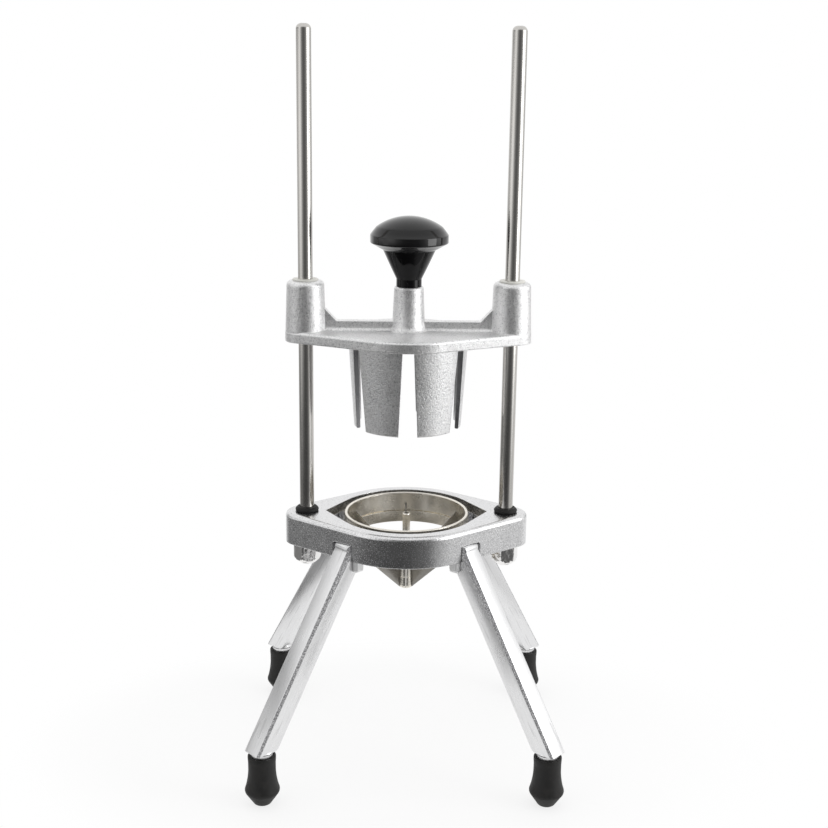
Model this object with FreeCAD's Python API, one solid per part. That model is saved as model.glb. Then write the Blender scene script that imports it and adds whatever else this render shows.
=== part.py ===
"""Apple and citrus slicer press: a head with six fingers slides down two rods and
pushes the fruit through a ring of six blades with a corer tube in its middle.

Millimetres. The origin is on the table, under the middle of the base.
X runs from rod to rod, -Y is the side the user stands at, Z is up.
"""

import FreeCAD, Part
import math
import os

from FreeCAD import Vector

# Whole object
base_top = 180.6            # top face of the base above the table
rod_spacing = 140.0         # centre to centre
rod_diameter = 10.0
rod_rise = 330.5            # rod tip above the base top
rod_tip_round = 3.6
rod_below_base = 11.0       # the end that the cap nut takes
rod_end_chamfer = 1.0

# Base casting
base_height = 22.0
base_plate = 7.0
base_wall = 4.0
base_centre_radius = 57.5   # middle arcs of the lozenge outline
base_end_radius = 15.0      # rounded ends, centred on the rods
base_edge_round = 3.0
opening_radius = 48.8
opening_tip = 57.0          # points of the eye-shaped opening, at 3 and 9 o'clock
cavity_half_length = 58.0   # beyond it the ends of the casting are solid

# Legs: a radial bar of 16 by 14 mm that leans out
leg_azimuth = 41.65         # from the X axis
leg_tilt = 31.84            # from the vertical
leg_width = 16.0
leg_depth = 14.0
leg_edge_chamfer = 1.6
leg_top = base_top - 11.0
leg_end = 39.6              # height of the flat lower end
leg_seat = 52.5             # distance from the middle of the face that meets its socket
leg_end_round = 1.2
leg_end_offset = 1.2        # the bar's middle is this far outside the spigot's, at the lower end
socket_depth = 30.0         # bottom of the leg sockets below the base top
socket_reach = 56.0         # outer end of the socket cheeks, from the middle
socket_half_width = 11.8
socket_clearance = 0.1
socket_corner_round = 2.0
socket_rim_chamfer = 1.2
notch_clearance = 0.3       # round a leg, where it passes through the skirt
notch_round = 2.0
foot_distance = 128.7
spigot_diameter = 15.2
spigot_length = 20.0
spigot_root = 4.0           # the part of it inside the leg
spigot_chamfer = 1.0
leg_top_chamfer = 3.2       # the edge chamfers widen to this at the top
widening_fraction = 0.46    # length over which they widen, as part of the leg

# Rubber feet
foot_rim = 36.2             # height of the open rim
foot_rim_diameter = 19.0
foot_rim_round = 0.5
foot_lip = 5.0              # the lip widens from the waist over this height
foot_waist_diameter = 18.6
foot_waist = 25.6           # height where the flare meets the waist
foot_flare_diameter = 23.6
foot_flare = 10.6           # height of the widest place
foot_cone_top = 9.1
foot_cone_top_diameter = 22.6
foot_cone_bottom = 1.0
foot_cone_bottom_diameter = 11.8
foot_sole_diameter = 7.0

# Blade set
ring_outer_radius = 43.5
ring_inner_radius = 41.4
ring_height = 14.0
ring_flange_radius = 46.5
ring_flange = 2.0
retainer_height = 8.0
retainer_inner_radius = 41.0
retainer_flange = 3.0
lug_clearance = 0.6         # round the blade ring
flange_clearance = 0.3
ear_radius = 53.0
ear_half_angle = 24.0
blade_count = 6
blade_thickness = 1.0
blade_bevel = 2.6
blade_edge = 0.1            # flat left on the cutting edge
blade_start = 7.3           # depth of the cutting edge below the base top, at the ring
blade_slope = 39.5
blade_seat_depth = 1.2      # how far a blade end sits in its slot
hub_radius = 5.3
hub_top = 36.5              # depths below the base top
hub_joint = 48.5
nozzle_bottom = 57.2
hub_shoulder = 2.4          # height of the cone on top of the hub
blade_heel = 56.0           # depth of the lower edge at the hub
blade_lower_start = 22.3    # depth of the lower edge at the ring
tube_radius = 2.7
tube_bore = 4.2
tube_top = 1.5
tube_top_chamfer = 0.45
nozzle_grip = 4.0           # how far the corer tube reaches into the nozzle
nozzle_mouth_radius = 3.7
nozzle_lip = 1.0
ring_top_chamfer = 0.5
ring_bore_chamfer = 0.9

# Rod fittings
bumper_diameter = 16.4
bumper_height = 3.3
bumper_round = 1.5
nut_flats = 17.0
nut_height = 17.5
nut_bore_depth = 12.0
nut_dome_flat = 1.0         # radius of the flat at the tip of the dome
nut_dome_round = 7.1
nut_shoulder = 9.0          # height of the full hexagon above the tip
nut_chamfer_width = 1.3
nut_chamfer_height = 0.9
nut_turn = -15.0            # azimuth of one corner

# Pusher head
head_bottom = base_top + 122.3
head_plate = 7.5
head_top_round = 1.8
head_bottom_round = 0.7
head_centre_radius = 45.0
head_corner_x = 24.0        # where the middle arc of the outline meets the straight edges
guide_top_diameter = 25.4
guide_bottom_diameter = 28.0
guide_height = 41.2
guide_top_round = 3.4
knob_boss_height = 37.7
knob_boss_top_diameter = 20.0
knob_boss_bottom_diameter = 22.2
knob_boss_flare = 4.0       # fillet at its foot
rib_thickness = 7.0
rib_height = 13.9           # above the underside of the plate
rib_root_reach = 3.2        # the hollow root on each side of it
rib_root_height = 4.2
rib_overlap = 2.0           # how far its ends run into the guide bosses
gusset_height = 23.5
gusset_reach = 9.0
finger_top_radius = 40.9
finger_bottom_radius = 37.0
finger_length = 58.8
finger_wall_top = 4.2
finger_wall_bottom = 2.8
finger_tip_chamfer = 0.6
slot_top_width = 8.0
slot_bottom_width = 12.8

# Guide bushes
bush_outer_diameter = 14.0
bush_bore = 10.1
bush_length = 14.0
bush_flange_diameter = 17.5
bush_flange = 1.0

# Knob
knob_bottom = base_top + 160.0
knob_neck_diameter = 16.2
knob_neck_height = 5.2
knob_cone_top = 24.8        # heights above the bottom of the neck
knob_cone_diameter = 34.0
knob_rim_bottom = 29.7
knob_rim_top = 34.9
knob_rim_round = 0.9
knob_rim_diameter = 52.4
knob_height = 46.8
knob_crown_radius = 40.0
knob_crown_edge = 22.0      # radius at which the crown turns into the shoulder
knob_shoulder_bulge = 0.4
stud_diameter = 8.0
stud_length = 40.0

# Screws
leg_bolt_diameter = 5.0
leg_bolt_head = 9.5
leg_bolt_height = 1.9       # a low head, clear of the ring flanges
leg_bolt_drop = 18.5        # below the base top
leg_bolt_length = 10.5
leg_bolt_round = 0.9
leg_bolt_key = 3.2
leg_bolt_key_depth = 1.4
ring_screw_diameter = 4.0
ring_screw_head = 7.0
ring_screw_height = 2.4
ring_screw_round = 1.0
ring_screw_slot = 1.0
ring_screw_radius = 49.7
ring_screw_angle = 17.0     # each side of the Y axis
ring_screw_length = 9.0

half_spacing = rod_spacing / 2
UP = Vector(0, 0, 1)


def cylinder(radius, height, x=0.0, y=0.0, z=0.0, direction=UP):
    return Part.makeCylinder(radius, height, Vector(x, y, z), direction)


def cone(bottom_radius, top_radius, height, x=0.0, y=0.0, z=0.0):
    return Part.makeCone(bottom_radius, top_radius, height, Vector(x, y, z), UP)


def tube(outer_radius, inner_radius, height, z):
    return cylinder(outer_radius, height, z=z).cut(cylinder(inner_radius, height + 2, z=z - 1))


def block(x0, x1, y0, y1, z0, z1):
    return Part.makeBox(x1 - x0, y1 - y0, z1 - z0, Vector(x0, y0, z0))


def polygon_face(points):
    return Part.Face(Part.makePolygon(points + [points[0]]))


def edges_through(points):
    """The closed chain of edges through (place, on_arc) points. An arc runs through an on_arc point."""
    closed = points + [points[0]]
    edges = []
    index = 0
    while index < len(closed) - 1:
        start = closed[index][0]
        place, on_arc = closed[index + 1]
        if on_arc:
            edges.append(Part.Arc(start, place, closed[index + 2][0]).toShape())
            index += 2
        else:
            edges.append(Part.LineSegment(start, place).toShape())
            index += 1
    return edges


def via(radius, height):
    """A profile point in the middle of an arc between its neighbours."""
    return radius, height, True


def turned(profile, x=0.0, y=0.0):
    """A solid of revolution about the vertical through (x, y), from (radius, height) and via() points."""
    points = [(Vector(x + point[0], y, point[1]), len(point) == 3) for point in profile]
    face = Part.Face(Part.Wire(edges_through(points)))
    return face.revolve(Vector(x, y, 0), UP, 360)


def rotated(shape, degrees):
    copy = shape.copy()
    copy.rotate(Vector(0, 0, 0), UP, degrees)
    return copy


def fused(shapes):
    return shapes[0].multiFuse(shapes[1:]).removeSplitter()


def rounded(shape, radius, chosen):
    return shape.makeFillet(radius, [edge for edge in shape.Edges if chosen(edge)])


def spans(edge, low, high, slack=0.01):
    """Whether an edge lies between two heights."""
    box = edge.BoundBox
    return box.ZMin > low - slack and box.ZMax < high + slack


def lozenge(centre_radius, end_radius, z):
    """A round middle joined to two round ends on the rods by common tangents."""
    cosine = (centre_radius - end_radius) / half_spacing
    sine = math.sqrt(1 - cosine * cosine)
    middle = Vector(centre_radius * cosine, centre_radius * sine, z)
    end = Vector(half_spacing + end_radius * cosine, end_radius * sine, z)
    return outline(middle, end, centre_radius, end_radius, z)


def outline(middle, end, centre_radius, end_radius, z):
    """The closed lozenge face whose straight edge runs from middle to end, in all four corners."""
    def mirrored(point, sx, sy):
        return Vector(point.x * sx, point.y * sy, point.z)

    front = Vector(0, -centre_radius, z)
    back = Vector(0, centre_radius, z)
    right = Vector(half_spacing + end_radius, 0, z)
    left = Vector(-half_spacing - end_radius, 0, z)
    edges = [
        Part.Arc(mirrored(middle, -1, 1), back, middle).toShape(),
        Part.LineSegment(middle, end).toShape(),
        Part.Arc(end, right, mirrored(end, 1, -1)).toShape(),
        Part.LineSegment(mirrored(end, 1, -1), mirrored(middle, 1, -1)).toShape(),
        Part.Arc(mirrored(middle, 1, -1), front, mirrored(middle, -1, -1)).toShape(),
        Part.LineSegment(mirrored(middle, -1, -1), mirrored(end, -1, -1)).toShape(),
        Part.Arc(mirrored(end, -1, -1), left, mirrored(end, -1, 1)).toShape(),
        Part.LineSegment(mirrored(end, -1, 1), mirrored(middle, -1, 1)).toShape(),
    ]
    return Part.Face(Part.Wire(edges))


def leg_positions():
    """Name and azimuth of each leg, in degrees."""
    return [
        ("front_left", 180 + leg_azimuth),
        ("front_right", -leg_azimuth),
        ("rear_left", 180 - leg_azimuth),
        ("rear_right", leg_azimuth),
    ]


# Base casting ---------------------------------------------------------------------------------

def base_opening():
    """The eye-shaped opening: a circle with two points."""
    height = base_height + 2
    z = base_top - base_height - 1
    angle = math.acos(opening_radius / opening_tip)
    touch_x = opening_radius * math.cos(angle)
    touch_y = opening_radius * math.sin(angle)
    eye = polygon_face([
        Vector(opening_tip, 0, z),
        Vector(touch_x, touch_y, z),
        Vector(-touch_x, touch_y, z),
        Vector(-opening_tip, 0, z),
        Vector(-touch_x, -touch_y, z),
        Vector(touch_x, -touch_y, z),
    ])
    return fused([cylinder(opening_radius, height, z=z), eye.extrude(Vector(0, 0, height))])


def leg_socket():
    """The block under the plate that holds the top of a leg between two cheeks, at azimuth 0."""
    low = base_top - socket_depth
    half = socket_half_width
    body = block(opening_radius, socket_reach, -half, half, low, base_top - base_plate + 1)
    body = rounded(
        body, socket_corner_round,
        lambda edge: spans(edge, low, low) and edge.BoundBox.YLength < 1,
    )
    body = body.makeChamfer(socket_rim_chamfer, [edge for edge in body.Edges if spans(edge, low, low)])
    inside = leg_width / 2 + socket_clearance
    pocket = block(leg_seat, socket_reach + 5, -inside, inside, low - 1, base_top - base_plate)
    z = base_top - leg_bolt_drop
    hole = cylinder(leg_bolt_diameter / 2, leg_bolt_length, opening_radius - 1, 0, z, Vector(1, 0, 0))
    return body.cut(pocket).cut(hole)


def leg_notch():
    """The arched notch where a leg passes through the skirt, at azimuth 0."""
    half = leg_width / 2 + notch_clearance
    notch_top = leg_top + notch_clearance
    low = base_top - base_height - 1
    notch = block(leg_seat, base_centre_radius + 10, -half, half, low, notch_top)
    return rounded(
        notch, notch_round,
        lambda edge: spans(edge, notch_top, notch_top) and edge.BoundBox.XLength > 5,
    )


def front_sector(z):
    """A wedge as wide as the ears, open towards the user."""
    reach = 70.0
    spread = reach * math.tan(math.radians(ear_half_angle))
    face = polygon_face([Vector(0, 0, z), Vector(-spread, -reach, z), Vector(spread, -reach, z)])
    return face.extrude(Vector(0, 0, 30))


def ring_lugs():
    """Front and rear pads that the blade ring and its retaining ring are screwed up against."""
    low = base_top - ring_height
    under_plate = base_top - base_plate
    pad = cylinder(base_centre_radius - 1, under_plate + 1 - low, z=low)
    pad = pad.cut(cylinder(ring_outer_radius + lug_clearance, 30, z=low - 1))
    pad = pad.cut(cylinder(ring_flange_radius + flange_clearance, ring_flange + 1, z=low - 1))
    pad = pad.cut(cylinder(opening_radius, 5, z=under_plate))
    pad = pad.common(front_sector(low - 1))
    lugs = [pad, rotated(pad, 180)]
    hole_depth = ring_screw_length - retainer_flange
    for x, y in ring_screw_places():
        hole = cylinder(ring_screw_diameter / 2, hole_depth, x, y, low - 0.5)
        lugs = [lug.cut(hole) for lug in lugs]
    return lugs


def base_casting():
    z = base_top - base_height
    body = lozenge(base_centre_radius, base_end_radius, z).extrude(Vector(0, 0, base_height))
    body = rounded(body, base_edge_round, lambda edge: spans(edge, base_top, base_top))
    inner = lozenge(base_centre_radius - base_wall, base_end_radius - base_wall, z - 1)
    cavity = inner.extrude(Vector(0, 0, base_height - base_plate + 1))
    cavity = cavity.common(block(-cavity_half_length, cavity_half_length, -60, 60, z - 1, base_top))
    body = body.cut(cavity)
    sockets = [rotated(leg_socket(), azimuth) for _, azimuth in leg_positions()]
    body = fused([body] + sockets)
    for _, azimuth in leg_positions():
        body = body.cut(rotated(leg_notch(), azimuth))
    body = body.cut(base_opening())
    body = fused([body] + ring_lugs())
    for side in (-1, 1):
        body = body.cut(cylinder(rod_diameter / 2, base_height + 2, side * half_spacing, 0, z - 1))
    return body


# Legs and feet --------------------------------------------------------------------------------

def leg_blank():
    """The leaning bar at azimuth 0, before its ends are cut. Its outer face looks along +X and up."""
    lean = math.radians(leg_tilt)
    axis = Vector(math.sin(lean), 0, -math.cos(lean))
    outward = Vector(math.cos(lean), 0, math.sin(lean))
    side = Vector(0, 1, 0)
    end_middle = Vector(foot_distance + leg_end_offset, 0, leg_end)
    outer_middle = end_middle + outward * (leg_depth / 2)
    above = 175.0
    below = 35.0
    start = outer_middle - axis * above
    half = leg_width / 2
    corner = leg_edge_chamfer
    section = [
        start + side * (half - corner),
        start + side * half - outward * corner,
        start + side * half - outward * leg_depth,
        start - side * half - outward * leg_depth,
        start - side * half - outward * corner,
        start - side * (half - corner),
    ]
    bar = polygon_face(section).extrude(axis * (above + below))
    return bar, outer_middle, axis, outward, side


def chamfer_widening(outer_middle, axis, outward, side):
    """The tapered tool that widens the chamfer of one outer edge towards the top of the leg."""
    leg_length = (leg_top - leg_end) / math.cos(math.radians(leg_tilt))
    length = leg_length * widening_fraction
    overrun = 1.3
    spare = 1.0
    low = outer_middle - axis * (leg_length - length)
    high = low - axis * (length * overrun)
    high_width = leg_edge_chamfer + (leg_top_chamfer - leg_edge_chamfer) * overrun
    sections = []
    for middle, width in ((low, leg_edge_chamfer), (high, high_width)):
        corner = middle + side * (leg_width / 2 + spare) + outward * spare
        reach = width + 2 * spare
        points = [corner, corner - side * reach, corner - outward * reach, corner]
        sections.append(Part.makePolygon(points))
    return Part.makeLoft(sections, True, True)


def leg(azimuth):
    bar, outer_middle, axis, outward, side = leg_blank()
    inside = opening_radius / 2
    outside = foot_distance + 60
    room = block(leg_seat, outside, -leg_width, leg_width, leg_end, leg_top)
    below_socket = block(inside, outside, -leg_width, leg_width, leg_end, base_top - socket_depth - 0.5)
    bar = bar.common(fused([room, below_socket]))
    bar = rounded(bar, leg_end_round, lambda edge: spans(edge, leg_end, leg_end))
    bar = rounded(bar, leg_end_round, lambda edge: spans(edge, leg_top, leg_top))
    for edge_side in (side, side * -1):
        bar = bar.cut(chamfer_widening(outer_middle, axis, outward, edge_side))
    hole_end = opening_radius + leg_bolt_length
    z = base_top - leg_bolt_drop
    hole = cylinder(leg_bolt_diameter / 2, hole_end - leg_seat, leg_seat, 0, z, Vector(1, 0, 0))
    low = leg_end - spigot_length
    spigot = cylinder(spigot_diameter / 2, spigot_length + spigot_root, foot_distance, 0, low)
    spigot = spigot.makeChamfer(spigot_chamfer, [edge for edge in spigot.Edges if spans(edge, low, low)])
    return rotated(fused([bar.cut(hole), spigot]), azimuth)


def rubber_foot(azimuth):
    """A cup over the spigot: rounded lip, waist, flare and a cone down to a small flat sole."""
    bore = spigot_diameter / 2
    floor = leg_end - spigot_length
    waist = foot_waist_diameter / 2
    flare = foot_flare_diameter / 2
    rim = foot_rim_diameter / 2
    flare_end = foot_flare + 2.0
    flare_end_radius = flare - 0.4
    profile = [
        (0, 0),
        (foot_sole_diameter / 2, 0),
        (foot_cone_bottom_diameter / 2, foot_cone_bottom),
        (foot_cone_top_diameter / 2, foot_cone_top),
        via(flare, foot_flare),
        (flare_end_radius, flare_end),
        via((waist + flare_end_radius) / 2 - 0.4, (foot_waist + flare_end) / 2),
        (waist, foot_waist),
        (waist, foot_rim - foot_lip),
        (rim, foot_rim - foot_lip / 2),
        (rim, foot_rim - foot_rim_round),
        via(rim - foot_rim_round * 0.3, foot_rim - foot_rim_round * 0.3),
        (rim - foot_rim_round, foot_rim),
        (bore + foot_rim_round, foot_rim),
        (bore, foot_rim - foot_rim_round),
        (bore, floor),
        (0, floor),
    ]
    return rotated(turned(profile, foot_distance, 0), azimuth)


def leg_bolts():
    """Four low-headed bolts that go outwards through the socket walls into the legs."""
    z = base_top - leg_bolt_drop
    out = Vector(1, 0, 0)
    head_start = opening_radius - leg_bolt_height
    shank = cylinder(leg_bolt_diameter / 2, leg_bolt_length, opening_radius - 0.5, 0, z, out)
    head = cylinder(leg_bolt_head / 2, leg_bolt_height, head_start, 0, z, out)
    head = rounded(head, leg_bolt_round, lambda edge: edge.BoundBox.XMax < head_start + 0.01)
    key = cylinder(leg_bolt_key / 2, leg_bolt_key_depth, head_start, 0, z, out)
    bolt = head.fuse(shank).cut(key)
    return Part.makeCompound([rotated(bolt, azimuth) for _, azimuth in leg_positions()])


# Rods and their fittings ----------------------------------------------------------------------

def guide_rod(side):
    radius = rod_diameter / 2
    bottom = base_top - base_height - rod_below_base
    top = base_top + rod_rise
    rod = cylinder(radius, top - bottom, side * half_spacing, 0, bottom)
    rod = rounded(rod, rod_tip_round, lambda edge: spans(edge, top, top))
    return rod.makeChamfer(rod_end_chamfer, [edge for edge in rod.Edges if spans(edge, bottom, bottom)])


def rod_bumper(side):
    ring = cylinder(bumper_diameter / 2, bumper_height, side * half_spacing, 0, base_top)
    ring = rounded(ring, bumper_round, lambda edge: edge.Curve.TypeId == "Part::GeomCircle")
    return ring.cut(cylinder(rod_diameter / 2, bumper_height + 2, side * half_spacing, 0, base_top - 1))


def cap_nut(side):
    """A hexagonal cap nut that hangs under the base, with its dome down."""
    x = side * half_spacing
    top = base_top - base_height
    tip = top - nut_height
    corner_radius = nut_flats / math.sqrt(3)
    corners = []
    for index in range(6):
        angle = math.radians(60 * index + nut_turn)
        corners.append(Vector(x + corner_radius * math.cos(angle), corner_radius * math.sin(angle), tip))
    prism = polygon_face(corners).extrude(Vector(0, 0, nut_height))
    slant = math.sqrt(0.5)
    dome = turned([
        (0, tip),
        (nut_dome_flat, tip),
        via(nut_dome_flat + nut_dome_round * slant, tip + nut_dome_round * (1 - slant)),
        (nut_dome_flat + nut_dome_round, tip + nut_dome_round),
        (corner_radius, tip + nut_shoulder),
        (corner_radius, top - nut_chamfer_height),
        (corner_radius - nut_chamfer_width, top),
        (0, top),
    ], x, 0)
    bore = cylinder(rod_diameter / 2, nut_bore_depth, x, 0, top - nut_bore_depth)
    return prism.common(dome).cut(bore)


# Blade set ------------------------------------------------------------------------------------

def blade_angles():
    """Azimuths of the blades: one towards the user, the rest in even steps."""
    return [-90 + index * 360 / blade_count for index in range(blade_count)]


def blade_slot(inner_radius, low, high):
    """The slot that seats the outer end of one blade, at azimuth 0."""
    half = blade_thickness / 2
    return block(inner_radius - 1, inner_radius + blade_seat_depth, -half, half, low, high)


def blade_ring():
    z = base_top - ring_height
    ring = tube(ring_outer_radius, ring_inner_radius, ring_height, z)
    top_edges = [edge for edge in ring.Edges if spans(edge, base_top, base_top)]
    ring = ring.makeChamfer(ring_top_chamfer, top_edges)
    bottom_edges = [edge for edge in ring.Edges if spans(edge, z, z)]
    inner_edge = min(bottom_edges, key=lambda edge: edge.BoundBox.XMax)
    ring = ring.makeChamfer(ring_bore_chamfer, [inner_edge])
    ring = fused([ring, tube(ring_flange_radius, ring_outer_radius - 0.5, ring_flange, z)])
    for angle in blade_angles():
        ring = ring.cut(rotated(blade_slot(ring_inner_radius, z - 1, base_top - blade_start + 0.3), angle))
    return ring


def retaining_ring():
    top = base_top - ring_height
    z = top - retainer_height
    ring = tube(ring_outer_radius, retainer_inner_radius, retainer_height, z)
    flange = tube(ring_flange_radius, retainer_inner_radius + 1, retainer_flange, top - retainer_flange)
    ears = tube(ear_radius, retainer_inner_radius + 1, retainer_flange, top - retainer_flange)
    ear = ears.common(front_sector(z))
    ring = fused([ring, flange, ear, rotated(ear, 180)])
    for angle in blade_angles():
        ring = ring.cut(rotated(blade_slot(retainer_inner_radius, z + 1, top + 1), angle))
    for x, y in ring_screw_places():
        ring = ring.cut(cylinder(ring_screw_diameter / 2, 20, x, y, z))
    return ring


def ring_screw_places():
    places = []
    for middle in (-90, 90):
        for offset in (-ring_screw_angle, ring_screw_angle):
            angle = math.radians(middle + offset)
            places.append((ring_screw_radius * math.cos(angle), ring_screw_radius * math.sin(angle)))
    return places


def ring_screws():
    """Four slotted screws, driven up through the ears of the retaining ring."""
    seat = base_top - ring_height - retainer_flange
    low = seat - ring_screw_height
    half_slot = ring_screw_slot / 2
    screws = []
    for x, y in ring_screw_places():
        head = cylinder(ring_screw_head / 2, ring_screw_height, x, y, low)
        head = rounded(head, ring_screw_round, lambda edge: spans(edge, low, low))
        slot = block(x - 4, x + 4, y - half_slot, y + half_slot, low - 0.1, low + ring_screw_slot)
        shank = cylinder(ring_screw_diameter / 2, ring_screw_length - 0.5, x, y, seat - 0.5)
        screws.append(head.cut(slot).fuse(shank))
    return Part.makeCompound(screws)


def blade(angle):
    """One blade: a leaning strip, sharp on top, seated in both rings and in the hub."""
    slope = math.tan(math.radians(blade_slope))
    half = blade_thickness / 2
    wall = ring_inner_radius
    inner = retainer_inner_radius - 0.1
    seat = retainer_inner_radius + blade_seat_depth
    seat_top = base_top - blade_start
    retainer_bottom = base_top - ring_height - retainer_height + 1.0
    edge_at_hub = seat_top - (wall - hub_radius) * slope
    hub_slot_radius = hub_radius - blade_seat_depth
    points = [
        (seat, seat_top),
        (wall, seat_top),
        (hub_radius, edge_at_hub),
        (hub_slot_radius, edge_at_hub - blade_seat_depth * slope),
        (hub_slot_radius, base_top - hub_joint),
        (hub_radius, base_top - hub_joint),
        (hub_radius, base_top - blade_heel),
        (inner, base_top - blade_lower_start),
        (inner, retainer_bottom),
        (seat, retainer_bottom),
    ]
    plate = polygon_face([Vector(r, -half, z) for r, z in points]).extrude(Vector(0, blade_thickness, 0))
    lean = math.radians(blade_slope)
    along = Vector(-math.cos(lean), 0, -math.sin(lean))
    into = Vector(math.sin(lean), 0, -math.cos(lean))
    start = Vector(wall - 0.4, 0, seat_top) - Vector(0.4, 0, 0.4 * slope)
    run = (wall - hub_radius) / math.cos(lean) - 1.6
    for sign in (-1, 1):
        outside = Vector(0, sign * half, 0)
        bevel = polygon_face([
            start - into * 0.5 + outside * blade_edge,
            start - into * 0.5 + outside * 2,
            start + into * blade_bevel + outside * 2,
            start + into * blade_bevel + outside,
        ]).extrude(along * run)
        plate = plate.cut(bevel)
    return rotated(plate, angle)


def corer_tube():
    bottom = base_top - hub_joint - nozzle_grip
    top = base_top - tube_top
    body = cylinder(tube_radius, top - bottom, z=bottom)
    body = body.makeChamfer(tube_top_chamfer, [edge for edge in body.Edges if spans(edge, top, top)])
    return body.cut(cylinder(tube_bore / 2, top - bottom + 2, z=bottom - 1))


def blade_hub():
    joint = base_top - hub_joint
    top = base_top - hub_top
    hub = turned([
        (tube_radius, joint),
        (hub_radius, joint),
        (hub_radius, top - hub_shoulder),
        (tube_radius + 0.5, top),
        (tube_radius, top),
    ])
    for angle in blade_angles():
        slot = block(hub_radius - blade_seat_depth, hub_radius + 1, -blade_thickness / 2, blade_thickness / 2,
                     joint - 1, top + 1)
        hub = hub.cut(rotated(slot, angle))
    return hub


def hub_nozzle():
    """The nut under the hub that draws the corer tube down."""
    joint = base_top - hub_joint
    bottom = base_top - nozzle_bottom
    outside = hub_radius - 0.05
    return turned([
        (tube_bore / 2, bottom),
        (nozzle_mouth_radius, bottom),
        via((nozzle_mouth_radius + outside) / 2 + 0.4, bottom + nozzle_lip * 0.7),
        (outside, bottom + nozzle_lip * 2),
        (outside, joint),
        (tube_radius, joint),
        (tube_radius, joint - nozzle_grip),
        (tube_bore / 2, joint - nozzle_grip),
    ])


# Pusher head ----------------------------------------------------------------------------------

def head_outline(z):
    """The head's lozenge: its middle arc meets the straight edges in faint corners."""
    end_radius = guide_bottom_diameter / 2
    middle_y = math.sqrt(head_centre_radius ** 2 - head_corner_x ** 2)
    reach = math.hypot(half_spacing - head_corner_x, middle_y)
    bearing = math.atan2(-middle_y, half_spacing - head_corner_x)
    turn = bearing + math.asin(end_radius / reach)
    end = Vector(half_spacing + end_radius * math.sin(-turn), end_radius * math.cos(turn), z)
    return outline(Vector(head_corner_x, middle_y, z), end, head_centre_radius, end_radius, z)


def guide_boss(side):
    x = side * half_spacing
    boss = cone(guide_bottom_diameter / 2, guide_top_diameter / 2, guide_height, x, 0, head_bottom)
    top = head_bottom + guide_height
    return rounded(boss, guide_top_round, lambda edge: spans(edge, top, top) and edge.Closed)


def knob_boss():
    """The tapered boss under the knob, with a hollow fillet at its foot."""
    radius = knob_boss_bottom_diameter / 2
    flare = knob_boss_flare
    foot = head_bottom + head_plate - 0.5
    top = head_bottom + knob_boss_height
    fillet = []
    for degrees in (0, 22, 45, 67, 90):
        angle = math.radians(degrees)
        out = radius + flare * (1 - math.sin(angle))
        fillet.append((out, foot + (flare + 1.5) * (1 - math.cos(angle))))
    return turned([(0, head_bottom), (radius + flare, head_bottom)] + fillet + [
        (knob_boss_top_diameter / 2, top - 0.8),
        (knob_boss_top_diameter / 2 - 0.8, top),
        (0, top),
    ])


def centre_rib():
    """The upright rib from boss to boss, with a gusset at each end."""
    low = head_bottom + 1
    rib_top = head_bottom + rib_height
    gusset_top = head_bottom + gusset_height
    inner = half_spacing - guide_bottom_diameter / 2 + rib_overlap
    face = polygon_face([
        Vector(-half_spacing, -rib_thickness / 2, low),
        Vector(half_spacing, -rib_thickness / 2, low),
        Vector(half_spacing, -rib_thickness / 2, gusset_top),
        Vector(inner, -rib_thickness / 2, gusset_top),
        Vector(inner - gusset_reach, -rib_thickness / 2, rib_top),
        Vector(-inner + gusset_reach, -rib_thickness / 2, rib_top),
        Vector(-inner, -rib_thickness / 2, gusset_top),
        Vector(-half_spacing, -rib_thickness / 2, gusset_top),
    ])
    return face.extrude(Vector(0, rib_thickness, 0))


def rib_root():
    """The hollow-sided root that joins the rib to the plate."""
    low = head_bottom + head_plate - 0.5
    high = low + rib_root_height
    half = rib_thickness / 2
    wide = half + rib_root_reach
    hollow = half + rib_root_reach * 0.3
    hollow_z = low + rib_root_height * 0.3
    inner = half_spacing - guide_bottom_diameter / 2 + rib_overlap
    section = [(-wide, low, False), (wide, low, False), (hollow, hollow_z, True), (half, high, False)]
    section += [(-half, high, False), (-hollow, hollow_z, True)]
    points = [(Vector(-inner, y, z), on_arc) for y, z, on_arc in section]
    face = Part.Face(Part.Wire(edges_through(points)))
    return face.extrude(Vector(2 * inner, 0, 0))


def finger_slot(azimuth):
    """The tapered slot between two fingers, cut from the middle outwards."""
    low = head_bottom - finger_length - 0.5
    narrow = slot_top_width / 2
    wide = slot_bottom_width / 2
    face = polygon_face([
        Vector(0, -wide, low),
        Vector(0, wide, low),
        Vector(0, narrow, head_bottom),
        Vector(0, -narrow, head_bottom),
    ])
    return rotated(face.extrude(Vector(60, 0, 0)), azimuth)


def fingers():
    low = head_bottom - finger_length
    tip = finger_tip_chamfer
    cup = turned([
        (finger_bottom_radius - finger_wall_bottom + tip, low),
        (finger_bottom_radius - tip, low),
        (finger_bottom_radius, low + tip),
        (finger_top_radius, head_bottom),
        (finger_top_radius, head_bottom + 2),
        (0, head_bottom + 2),
        (0, head_bottom),
        (finger_top_radius - finger_wall_top, head_bottom),
        (finger_bottom_radius - finger_wall_bottom, low + tip),
    ])
    for angle in blade_angles():
        cup = cup.cut(finger_slot(angle))
    return cup


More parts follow.
